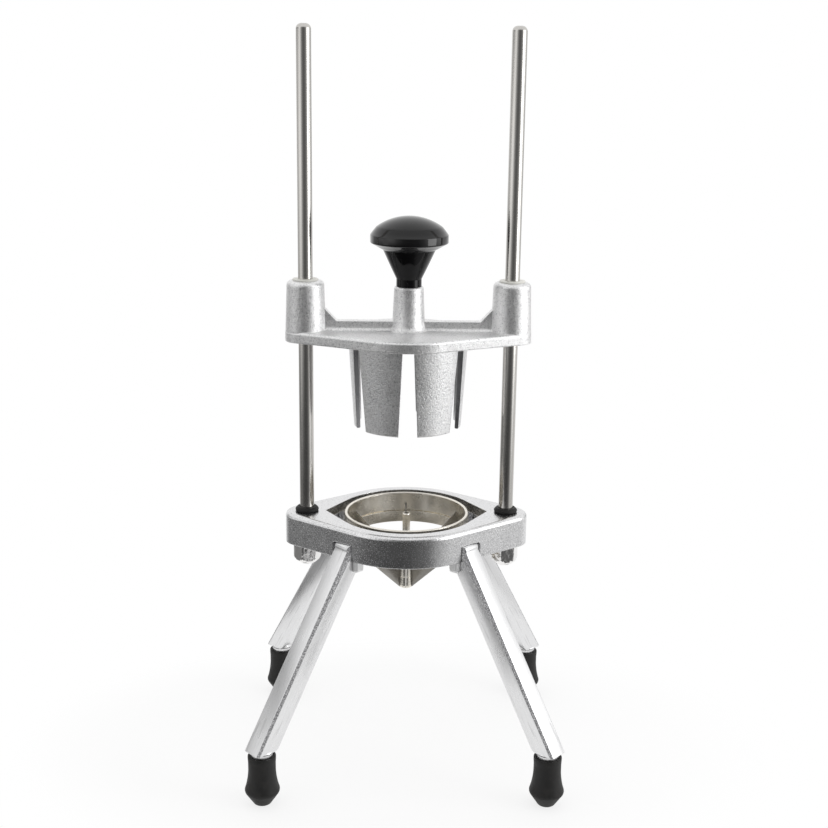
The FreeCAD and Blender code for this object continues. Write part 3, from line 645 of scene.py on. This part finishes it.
def bevelled(bm, edges, offset, segments):
    bmesh.ops.bevel(bm, geom=edges, offset=offset * MM, segments=segments, profile=0.5, affect="EDGES")


def mesh_from(bm, sharp=30):
    """Smooth shading with sharp edges where faces turn by more than the given angle."""
    limit = radians(sharp)
    for face in bm.faces:
        face.smooth = True
    for edge in bm.edges:
        edge.smooth = len(edge.link_faces) == 2 and edge.calc_face_angle(0.0) < limit
    mesh = bpy.data.meshes.new("mesh")
    bm.to_mesh(mesh)
    bm.free()
    return mesh


def placed(name, mesh, material=None):
    """An object at the origin that carries the mesh."""
    mesh.name = name
    piece = bpy.data.objects.new(name, mesh)
    bpy.context.scene.collection.objects.link(piece)
    if material:
        mesh.materials.append(material)
    return piece


def dress(piece, body, slot, *stands_for):
    """Fixes a piece to its body and hides the nodes that it stands for; its finish slot is not used."""
    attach(piece, body)
    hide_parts(*stands_for)


def coat(material, *names):
    """Gives solids that stay a new finish."""
    for name in names:
        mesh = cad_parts[name].data
        mesh.materials.clear()
        mesh.materials.append(material)


# Copies with geometry nodes

def copies_graph(name, sizes):
    """A geometry tree with a piece and the named sizes as inputs."""
    tree = bpy.data.node_groups.new(name, "GeometryNodeTree")
    for size, kind in {"Piece": "Geometry", **sizes, "Finish": "Material"}.items():
        tree.interface.new_socket(size, in_out="INPUT", socket_type=f"NodeSocket{kind}")
    tree.interface.new_socket("Copies", in_out="OUTPUT", socket_type="NodeSocketGeometry")
    graph = Graph(tree)
    return graph, graph.node("NodeGroupInput", None, None, "Piece")


def end_with_copies(graph, piece, points, bearing):
    """Puts the piece on the points, turned to the bearing, and makes one finished mesh of it."""
    copies = graph.node("GeometryNodeInstanceOnPoints", None, {
        "Points": points, "Instance": piece, "Rotation": graph.vector(0.0, 0.0, bearing)})
    solid = graph.node("GeometryNodeRealizeInstances", None, {"Geometry": copies})
    finished = graph.node("GeometryNodeSetMaterial", None,
                          {"Geometry": solid, "Material": graph.other(piece, "Finish")})
    graph.node("NodeGroupOutput", None, {"Copies": finished})
    return graph.tree


def corner_copies():
    """Copies at the corners of a rectangle, or the two ends of a line, turned outwards if wished."""
    graph, piece = copies_graph("corner_copies", {
        "Width": "Float", "Depth": "Float", "Rows": "Int", "Turn": "Float"})
    grid = graph.node("GeometryNodeMeshGrid", None, {
        "Size X": graph.other(piece, "Width"), "Size Y": graph.other(piece, "Depth"),
        "Vertices X": 2, "Vertices Y": graph.other(piece, "Rows")})
    x, y, _ = graph.components(graph.node("GeometryNodeInputPosition"))
    bearing = graph.maths("ARCTAN2", y, x) * graph.other(piece, "Turn")
    return end_with_copies(graph, piece, grid, bearing)


def round_copies():
    """Copies in even steps round the vertical axis."""
    graph, piece = copies_graph("round_copies", {"Count": "Int", "Start": "Float"})
    count = graph.other(piece, "Count")
    points = graph.node("GeometryNodeMeshLine", {"mode": "OFFSET"},
                        {"Count": count, "Offset": (0.0, 0.0, 0.0)})
    step = graph.maths("DIVIDE", tau, count)
    bearing = graph.node("GeometryNodeInputIndex") * step + graph.other(piece, "Start")
    return end_with_copies(graph, piece, points, bearing)


def copied(name, mesh, tree, sizes, material):
    """An object whose mesh is the evaluated copies of a mesh."""
    piece = placed(name, mesh)
    modifier = piece.modifiers.new("copies", "NODES")
    modifier.node_group = tree
    values = {**sizes, "Finish": material}
    for item in tree.interface.items_tree:
        if item.name in values:
            modifier[item.identifier] = values[item.name]
    evaluated = piece.evaluated_get(bpy.context.evaluated_depsgraph_get())
    result = bpy.data.meshes.new_from_object(evaluated)
    piece.modifiers.clear()
    piece.data = result
    return piece


def at_feet(name, mesh, material):
    """A copy of a mesh at each foot, turned outwards."""
    foot = middle_of("rubber_foot_rear_right")
    sizes = {"Width": 2 * foot.x, "Depth": 2 * foot.y, "Rows": 2, "Turn": 1.0}
    return copied(name, mesh, corner_copies(), sizes, material)


def at_rods(name, mesh, material):
    """A copy of a mesh at each rod."""
    spacing = bpy.context.scene.press_rods.spacing
    sizes = {"Width": spacing, "Depth": 0.0, "Rows": 1, "Turn": 0.0}
    return copied(name, mesh, corner_copies(), sizes, material)


# Shapes of single pieces

def leg_bar(legs, low):
    """A bar that leans inwards over its foot, in level sections.

    The facets along its two outer edges grow wider on the side faces only.
    """
    foot = middle_of("rubber_foot_rear_right")
    foot_distance = hypot(foot.x, foot.y) / MM
    high = heights("leg_rear_right")[1]
    cosine = cos(legs.lean)
    slope = tan(legs.lean)
    half_width = legs.width / MM / 2
    half_depth = legs.depth / MM / 2 / cosine
    middle = legs.end_offset / MM
    seat = legs.seat / MM - foot_distance
    head_face = legs.head_face / MM - foot_distance
    corner = legs.chamfer / MM
    growth = (legs.top_chamfer / MM - corner) / legs.widening
    narrowest = 1.2  # the outer face stays wider than this
    steps = 10
    turn = 1 - legs.widening
    rise = (high - low) * slope
    shares = [0.0] + [turn + legs.widening * i / steps for i in range(steps + 1)]
    shares += [(middle - half_depth - seat) / rise, (middle + half_depth - head_face) / rise]

    bm = bmesh.new()
    # Marks the chamfers, whose cast skin the finish paints darker, partly as a painted dark reflection.
    cast_skin = bm.faces.layers.float.new("cast_skin")
    sections = []
    for part in sorted(shares):
        z = low + (high - low) * part
        outer = middle + half_depth - (z - low) * slope
        inner = max(seat, outer - 2 * half_depth)
        outer = max(head_face, outer)
        facet = (corner + growth * max(0.0, part - turn)) / cosine
        facet = min(facet, outer - inner - narrowest)
        sections.append([vertex(bm, x, y, z) for x, y in (
            (inner, -half_width), (outer - facet, -half_width), (outer, corner - half_width),
            (outer, half_width - corner), (outer - facet, half_width), (inner, half_width))])
    for index, face in enumerate(skinned(bm, sections)):
        face[cast_skin] = 1.0 if index % 6 in (1, 3) else 0.0
    nose = bm.edges.get((sections[0][0], sections[0][5]))
    bevelled(bm, [nose], 2.6, 5)
    crest = bm.edges.get((sections[-1][2], sections[-1][3]))
    bevelled(bm, [crest], 3.0, 6)
    sharp = [edge for edge in bm.edges if edge.calc_face_angle(0.0) > radians(18)]
    bevelled(bm, sharp, 0.35, 2)
    return bm


def leg_spigot(radius, bar_end):
    """The peg below the bar, with a fillet at its root."""
    bottom = heights("leg_rear_right")[0]
    root = (radius, bar_end - 1.2)
    profile = [(0, bottom), (radius - 1, bottom), (radius, bottom + 1), root]
    profile += arc(root, (radius + 0.25, bar_end - 0.4), (radius + 0.9, bar_end + 0.2), 4)[1:]
    profile += [(radius - 1, bar_end + 3), (0, bar_end + 3)]
    return turned_mesh(profile, 64)


def cap_nut(flats, height, corner_bearing):
    """A dome that grows into a chamfered hexagon: at each height the smaller of the two shapes."""
    past_corners = 9.9
    dome = arc((1.0, 0.0), (4.9, 0.95), (7.6, 2.9), 8)
    dome += [(8.6, 3.9), (9.3, 4.8), (past_corners, 5.8)]
    dome += [(past_corners, height - 0.9), (9.2, height - 0.45), (8.5, height)]
    segments = 144
    tip = heights("cap_nut_right")[1] - height
    bm = bmesh.new()
    rings = []
    for radius, rise in dome:
        ring = []
        for i in range(segments):
            bearing = tau * i / segments
            off_flat = (bearing - corner_bearing) % (pi / 3) - pi / 6
            reach = min(radius, flats / 2 / cos(off_flat))
            ring.append(vertex(bm, reach * cos(bearing), reach * sin(bearing), tip + rise))
        rings.append(ring)
    skinned(bm, rings)
    bmesh.ops.recalc_face_normals(bm, faces=bm.faces)
    return mesh_from(bm, 24)


def ground_blade(half, bevel, slope_angle):
    """A sloping strip along +X with flat sides and a bevel to its cutting edge."""
    ring_top = heights("blade_ring")[1]
    ring_bore = 41.4
    half_edge = 0.06
    slope = tan(slope_angle)
    drop = bevel / cos(slope_angle)
    seat_top = ring_top - 7.3
    at_hub = seat_top - (ring_bore - HUB_RADIUS) * slope
    columns = [
        (42.2, seat_top, ring_top - 21.0),
        (41.35, seat_top, ring_top - 22.0),
        (40.9, seat_top - 0.4, ring_top - 22.3),
        (HUB_RADIUS, at_hub, ring_top - 56.0),
        (4.1, at_hub - 1.2 * slope, ring_top - HUB_DEPTH),
    ]
    bm = bmesh.new()
    edge_layer = bm.verts.layers.float.new("bevel")
    sections = []
    for reach, top, low in columns:
        section = []
        for y, z, shine in (
                (-half, low, 0.0), (-half, top - drop, 0.0), (-half_edge, top, 1.0),
                (half_edge, top, 1.0), (half, top - drop, 0.0), (half, low, 0.0)):
            section.append(vertex(bm, reach, y, max(z, low)))
            section[-1][edge_layer] = shine
        sections.append(section)
    skinned(bm, sections)
    bmesh.ops.recalc_face_normals(bm, faces=bm.faces)
    return mesh_from(bm, 8)


# Stage

def set_floor(stage):
    """An oval table top that shows as white, with its shadow and itself fading at the rim."""
    bm = bmesh.new()
    bmesh.ops.create_circle(bm, cap_ends=True, segments=128, radius=0.5)
    bmesh.ops.scale(bm, vec=(stage.floor_width, stage.floor_depth, 1.0), verts=bm.verts)
    material = bpy.data.materials.new("table_white")
    material.use_nodes = True
    graph = Graph(material.node_tree)
    x, y, _ = graph.components(graph.place())
    reach = graph.reach(x * (2 / stage.floor_width), y * (2 / stage.floor_depth))
    shade = (1 - graph.step(reach, 0.6, 0.95)) * stage.shade
    lit = graph.node("ShaderNodeBsdfDiffuse", None, {"Color": (*stage.floor_colour, 1.0)})
    glow = graph.node("ShaderNodeEmission")
    camera = graph.node("ShaderNodeLightPath", None, None, "Is Camera Ray")
    seen = camera.at_least(graph.other(camera, "Is Glossy Ray"))
    seen = seen.at_least(graph.other(camera, "Is Transmission Ray"))
    mixed = graph.node("ShaderNodeMixShader", None, {"Fac": seen * (1 - shade), 1: lit, 2: glow})
    gone = graph.node("ShaderNodeBsdfTransparent")
    faded = graph.node("ShaderNodeMixShader", None, {
        "Fac": graph.step(reach, 0.8, 1.0), 1: mixed, 2: gone})
    graph.node("ShaderNodeOutputMaterial", None, {"Surface": faded})
    placed("table_top", mesh_from(bm), material)


def set_world(scene, stage):
    """White behind the press, soft walls at its sides, and a dim room on the user's side.

    The levels are radiances by bearing from the user, in degrees to the right.
    """
    scene.world = bpy.data.worlds.new("studio")
    scene.world.use_nodes = True
    graph = Graph(scene.world.node_tree)
    x, y, z = graph.components(graph.place("Generated"))
    bearing = graph.maths("ARCTAN2", x, y * -1.0)
    share_of_turn = bearing * (1 / tau) + 0.5

    def grey(level):
        return dimmed(WHITE, level / stage.brightest)

    def walls(levels):
        stops = [((degrees + 180) / 360, grey(level)) for degrees, level in levels]
        return graph.node("ShaderNodeValToRGB", {"stops": stops}, {"Fac": share_of_turn})

    def patch(middle, inner, outer, low, high, fade):
        """1 round a bearing and between two heights, with soft edges."""
        inside = 1 - graph.step(abs(bearing - radians(middle)), inner, outer)
        return inside * graph.step(z, low - fade, low) * (1 - graph.step(z, high, high + fade))

    upper = walls([
        (-180, 1.0), (-135, 1.0), (-123, 0.5), (-95, 0.9), (-70, 1.4), (-51, 1.12), (-35, 0.52),
        (-19, 0.22), (-3, 0.14), (11, 0.15), (26, 0.2), (42, 0.45), (58, 1.15), (75, 1.5),
        (101, 1.38), (112, 0.85), (125, 0.62), (145, 0.6), (162, 0.95), (180, 1.0)])
    lower = walls([
        (-180, 1.0), (-155, 1.0), (-135, 0.45), (-112, 0.2), (-88, 0.18), (-60, 0.08), (-40, 0.06),
        (0, 0.07), (30, 0.12), (52, 0.5), (75, 0.6), (97, 0.75), (125, 0.9), (180, 0.95)])
    doorway = patch(-98, 0.25, 0.85, 0.14, 0.22, 0.12)
    left_window = patch(-74, 0.08, 0.24, -0.21, -0.08, 0.03)
    right_window = patch(67, 0.12, 0.28, -0.24, -0.08, 0.04)
    upper = graph.blend(doorway * 0.75, upper, (0.0, 0.0, 0.0))
    room = graph.blend(graph.step(z, -0.26, -0.05), lower, upper)
    room = graph.blend(left_window * 0.8, room, grey(0.9))
    room = graph.blend(right_window * 0.9, room, grey(1.4))
    room = graph.blend(graph.step(z + y * 0.3, 0.2, 0.55), room, grey(1.0))
    camera = graph.node("ShaderNodeLightPath", None, None, "Is Camera Ray")
    background = graph.node("ShaderNodeBackground", None, {
        "Color": graph.blend(camera, room, grey(1.0)), "Strength": stage.brightest})
    graph.node("ShaderNodeOutputWorld", None, {"Surface": background})


def set_softbox(scene, stage):
    """A tall soft box on the right, level with the head and aimed at the middle of the press."""
    light = bpy.data.lights.new("softbox_right", "AREA")
    light.shape = "RECTANGLE"
    light.size = 0.64
    light.size_y = 0.87
    light.energy = stage.softbox_power
    lamp = bpy.data.objects.new("softbox_right", light)
    lamp.location = (1.12, -0.42, 0.52)
    aim = Vector((0, 0, 0.3)) - lamp.location
    lamp.rotation_euler = aim.to_track_quat("-Z", "Y").to_euler()
    scene.collection.objects.link(lamp)


def set_camera(scene, stage):
    """A camera at the user's eye, turned by roll, pitch and yaw."""
    data = bpy.data.cameras.new("camera")
    data.lens = stage.lens
    data.sensor_width = 36.0
    camera = bpy.data.objects.new("camera", data)
    camera.matrix_world = (
        Matrix.Translation(stage.eye) @ Matrix.Rotation(-stage.yaw, 4, "Z")
        @ Matrix.Rotation(pi / 2 - stage.pitch, 4, "X") @ Matrix.Rotation(stage.roll, 4, "Z"))
    scene.collection.objects.link(camera)
    scene.camera = camera


# Operators

class PRESS_OT_castings(Operator):
    """Finish the base casting and the pusher head"""
    bl_idname = "press.castings"
    bl_label = "Castings"

    def execute(self, context):
        castings = context.scene.press_castings
        tumbled = cast_aluminium("tumbled_casting", castings, castings.colour, castings.grain / MM,
                                 castings.base_roughness, castings.base_relief)
        blasted = cast_aluminium("blasted_casting", castings, castings.head_colour,
                                 castings.head_grain / MM, castings.head_roughness, castings.head_relief)
        coat(tumbled, "base_casting")
        coat(blasted, "pusher_head")
        return {"FINISHED"}


class PRESS_OT_legs(Operator):
    """Grind the four legs and turn their spigots"""
    bl_idname = "press.legs"
    bl_label = "Legs"

    def execute(self, context):
        legs = context.scene.press_legs
        bar_end = heights("rubber_foot_rear_right")[1] + legs.foot_gap / MM
        bm = leg_bar(legs, bar_end)
        bm.from_mesh(leg_spigot(legs.spigot / MM / 2, bar_end))
        piece = at_feet("legs_ground", mesh_from(bm, 25), ground_aluminium(legs))
        dress(piece, "frame", "ground_aluminium", *each("leg", CORNERS))
        return {"FINISHED"}


class PRESS_OT_feet(Operator):
    """Mould the four rubber feet"""
    bl_idname = "press.feet"
    bl_label = "Rubber feet"

    def execute(self, context):
        belly = (11.3, 9.1)
        shoulder = (11.4, 12.6)
        neck = (9.3, 25.6)
        cone = softened([(0, 0), (3.5, 0), (5.9, 1.0), belly], 0.7)
        flare = arc(belly, (11.8, 10.6), shoulder, 6)
        waist = arc(shoulder, (9.95, 19.1), neck, 12)
        lip = softened([
            neck, (9.3, 31.2), (9.5, 33.7), (9.5, 36.2), (8.0, 36.2), (7.65, 35.7), (7.65, 19.7),
            (0, 19.6)], 0.6)
        mesh = turned_mesh(cone[:-1] + flare + waist[1:] + lip[1:])
        piece = at_feet("feet_moulded", mesh, moulded_rubber("foot_rubber", context.scene.press_rubber))
        dress(piece, "frame", "black_rubber", *each("rubber_foot", CORNERS))
        return {"FINISHED"}


class PRESS_OT_rods(Operator):
    """Turn the two guide rods"""
    bl_idname = "press.rods"
    bl_label = "Guide rods"

    def execute(self, context):
        rods = context.scene.press_rods
        bottom, top = heights("guide_rod_right")
        radius = rods.diameter / MM / 2
        dome = rods.tip_round / MM
        slant = dome * (1 - sqrt(0.5))
        profile = [(0, bottom), (radius - 1, bottom), (radius, bottom + 1)]
        profile += arc((radius, top - dome), (radius - slant, top - slant), (radius - dome, top), 10)
        profile += [(0, top)]
        piece = at_rods("guide_rods_turned", turned_mesh(profile, 72), polished_bar(rods.colour))
        dress(piece, "frame", "polished_steel", *each("guide_rod", SIDES))
        return {"FINISHED"}


class PRESS_OT_bumpers(Operator):
    """Mould the rubber rings round the feet of the rods"""
    bl_idname = "press.bumpers"
    bl_label = "Rod bumpers"

    def execute(self, context):
        rubber = context.scene.press_rubber
        bottom, top = heights("rod_bumper_right")
        height = top - bottom
        bore = context.scene.press_rods.diameter / MM / 2
        outer = rubber.bumper_diameter / MM / 2
        profile = softened([
            (bore, 0), (outer - 0.5, 0), (outer, 0.9), (outer, height - 1.6),
            (outer - 1.3, height - 0.3), (6.6, height), (bore, height - 0.3)], 0.7)
        mesh = turned_mesh(profile, 64, closed=True, lift=bottom)
        piece = at_rods("rod_bumpers_moulded", mesh, moulded_rubber("bumper_rubber", rubber))
        dress(piece, "frame", "black_rubber", *each("rod_bumper", SIDES))
        return {"FINISHED"}


class PRESS_OT_nuts(Operator):
    """Form the two cap nuts"""
    bl_idname = "press.nuts"
    bl_label = "Cap nuts"

    def execute(self, context):
        nuts = context.scene.press_nuts
        mesh = cap_nut(nuts.flats / MM, nuts.height / MM, nuts.turn)
        piece = at_rods("cap_nuts_plated", mesh, plated(nuts.colour))
        dress(piece, "frame", "chrome", *each("cap_nut", SIDES))
        return {"FINISHED"}


class PRESS_OT_bushes(Operator):
    """Turn the four guide bushes"""
    bl_idname = "press.bushes"
    bl_label = "Guide bushes"

    def execute(self, context):
        bushes = context.scene.press_bushes
        bore = bushes.bore / MM / 2
        flange = bushes.flange_diameter / MM / 2
        sleeve = bushes.diameter / MM / 2
        deep = bushes.sleeve / MM + 1
        nylon = natural_nylon(bushes.colour)
        upper = [(bore, -deep), (sleeve, -deep), (sleeve, -1), (flange, -1), (flange, 0), (bore, 0)]
        lower = [(radius, -height) for radius, height in reversed(upper)]
        ends = {"upper": (upper, heights("guide_bush_right_upper")[1]),
                "lower": (lower, heights("guide_bush_right_lower")[0])}
        for name, (profile, face) in ends.items():
            mesh = turned_mesh(softened(profile, 0.25, 3), 64, closed=True, lift=face)
            piece = at_rods(f"guide_bushes_{name}_turned", mesh, nylon)
            dress(piece, "head", "nylon", f"guide_bush_left_{name}", f"guide_bush_right_{name}")
        return {"FINISHED"}


class PRESS_OT_knob(Operator):
    """Mould the mushroom knob"""
    bl_idname = "press.knob"
    bl_label = "Knob"

    def execute(self, context):
        knob = context.scene.press_knob
        neck = knob.neck_diameter / MM / 2
        rim = knob.rim_diameter / MM / 2
        waist = knob.cone_diameter / MM / 2
        height = knob.height / MM
        crown_radius = knob.crown_radius / MM
        crown_edge = rim - 4.2

        def crown(radius):
            return radius, height - crown_radius + sqrt(crown_radius ** 2 - radius ** 2)

        rim_low = (rim, 29.7)
        rim_high = (rim, 34.9)
        cone_end = (waist, 24.8)
        turn = crown(crown_edge)
        cone = arc((neck, 5.2), ((neck + waist) / 2 + 0.1, 15.0), cone_end, 16)
        under = arc(cone_end, ((waist + rim) / 2 - 1.0, 26.6), rim_low, 10)
        shoulder_middle = ((rim + turn[0]) / 2 + 0.05, (rim_high[1] + turn[1]) / 2 + 0.05)
        shoulder = arc(rim_high, shoulder_middle, turn, 10)
        dome = [crown(crown_edge * (1 - i / 20)) for i in range(1, 21)]
        profile = [(0, 0), (neck - 0.3, 0), (neck, 0.3)] + cone + under[1:-1]
        profile += rounded_corner(under[-2], rim_low, rim_high, 0.8)
        profile += rounded_corner(rim_low, rim_high, shoulder[2], 0.5) + shoulder[2:] + dome
        mesh = turned_mesh(profile, 128, sharp=22, lift=heights("knob")[0])
        piece = placed("knob_moulded", mesh, glossy_moulding(knob.colour))
        dress(piece, "head", "gloss_black", "knob")
        coat(zinc_plate("stud_zinc", context.scene.press_screws.colour), "knob_stud")
        return {"FINISHED"}


class PRESS_OT_blades(Operator):
    """Grind the blades"""
    bl_idname = "press.blades"
    bl_label = "Blades"

    def execute(self, context):
        blades = context.scene.press_blades
        mesh = ground_blade(blades.thickness / MM / 2, blades.bevel / MM, blades.slope)
        sizes = {"Count": blades.count, "Start": -pi / 2}
        piece = copied("blades_ground", mesh, round_copies(), sizes, blade_steel(blades))
        dress(piece, "frame", "blade_steel", *each("blade", range(1, blades.count + 1)))
        return {"FINISHED"}


class PRESS_OT_rings(Operator):
    """Turn the corer tube, hub and nozzle, and finish the two rings"""
    bl_idname = "press.rings"
    bl_label = "Rings and corer"

    def execute(self, context):
        rings = context.scene.press_rings
        steel = turned_steel(rings.colour, rings.roughness)
        coat(steel, "blade_ring", "retaining_ring")
        bore = 2.1
        wall = 2.7
        fit = wall + 0.02
        tube_end = -HUB_DEPTH - 4
        profiles = {
            "corer_tube": softened([
                (bore, tube_end), (wall, tube_end), (wall, -2.2), (2.25, -1.5), (bore, -1.5)], 0.15, 3),
            "blade_hub": softened([
                (fit, -HUB_DEPTH), (HUB_RADIUS, -HUB_DEPTH), (HUB_RADIUS, -39.3), (3.6, -36.9),
                (fit, -36.5)], 0.5),
            "hub_nozzle": softened([
                (bore, -57.2), (3.6, -57.2), (5.0, -56.2), (5.25, -54.8), (5.25, -HUB_DEPTH),
                (fit, -HUB_DEPTH), (fit, tube_end), (bore, tube_end)], 0.3),
        }
        for name, profile in profiles.items():
            mesh = turned_mesh(profile, 64, closed=True, lift=heights("blade_ring")[1])
            dress(placed(f"{name}_turned", mesh, steel), "frame", "stainless", name)
        return {"FINISHED"}


class PRESS_OT_screws(Operator):
    """Finish the leg bolts and the slotted ring screws with zinc plate"""
    bl_idname = "press.screws"
    bl_label = "Screws"

    def execute(self, context):
        coat(zinc_plate("zinc_plate", context.scene.press_screws.colour), "leg_bolts", "ring_screws")
        return {"FINISHED"}


class PRESS_OT_stage(Operator):
    """Set the table top, studio light and camera"""
    bl_idname = "press.stage"
    bl_label = "Stage"

    def execute(self, context):
        stage = context.scene.press_stage
        set_floor(stage)
        set_world(context.scene, stage)
        set_softbox(context.scene, stage)
        set_camera(context.scene, stage)
        context.scene.view_settings.view_transform = "Standard"
        return {"FINISHED"}


OPERATORS = (
    PRESS_OT_castings, PRESS_OT_legs, PRESS_OT_feet, PRESS_OT_rods, PRESS_OT_bumpers, PRESS_OT_nuts,
    PRESS_OT_bushes, PRESS_OT_knob, PRESS_OT_blades, PRESS_OT_rings, PRESS_OT_screws, PRESS_OT_stage)


class PRESS_PT_pieces(Panel):
    """Lists the pieces of the press and their settings"""
    bl_idname = "PRESS_PT_pieces"
    bl_label = "Fruit slicer press"
    bl_space_type = "VIEW_3D"
    bl_region_type = "UI"
    bl_category = "Press"

    def draw(self, context):
        layout = self.layout
        for operator in OPERATORS:
            layout.operator(operator.bl_idname)
        for name, group in SETTINGS.items():
            box = layout.box()
            for key in group.__annotations__:
                box.prop(getattr(context.scene, name), key)


CLASSES = (*SETTINGS.values(), *OPERATORS, PRESS_PT_pieces)


def register():
    for made in CLASSES:
        bpy.utils.register_class(made)
    for name, group in SETTINGS.items():
        setattr(bpy.types.Scene, name, PointerProperty(type=group))


def unregister():
    for name in SETTINGS:
        delattr(bpy.types.Scene, name)
    for made in reversed(CLASSES):
        bpy.utils.unregister_class(made)


def main():
    """Builds the press."""
    register()
    for operator in OPERATORS:
        group, name = operator.bl_idname.split(".")
        getattr(getattr(bpy.ops, group), name)()


if __name__ == "__main__":
    main()
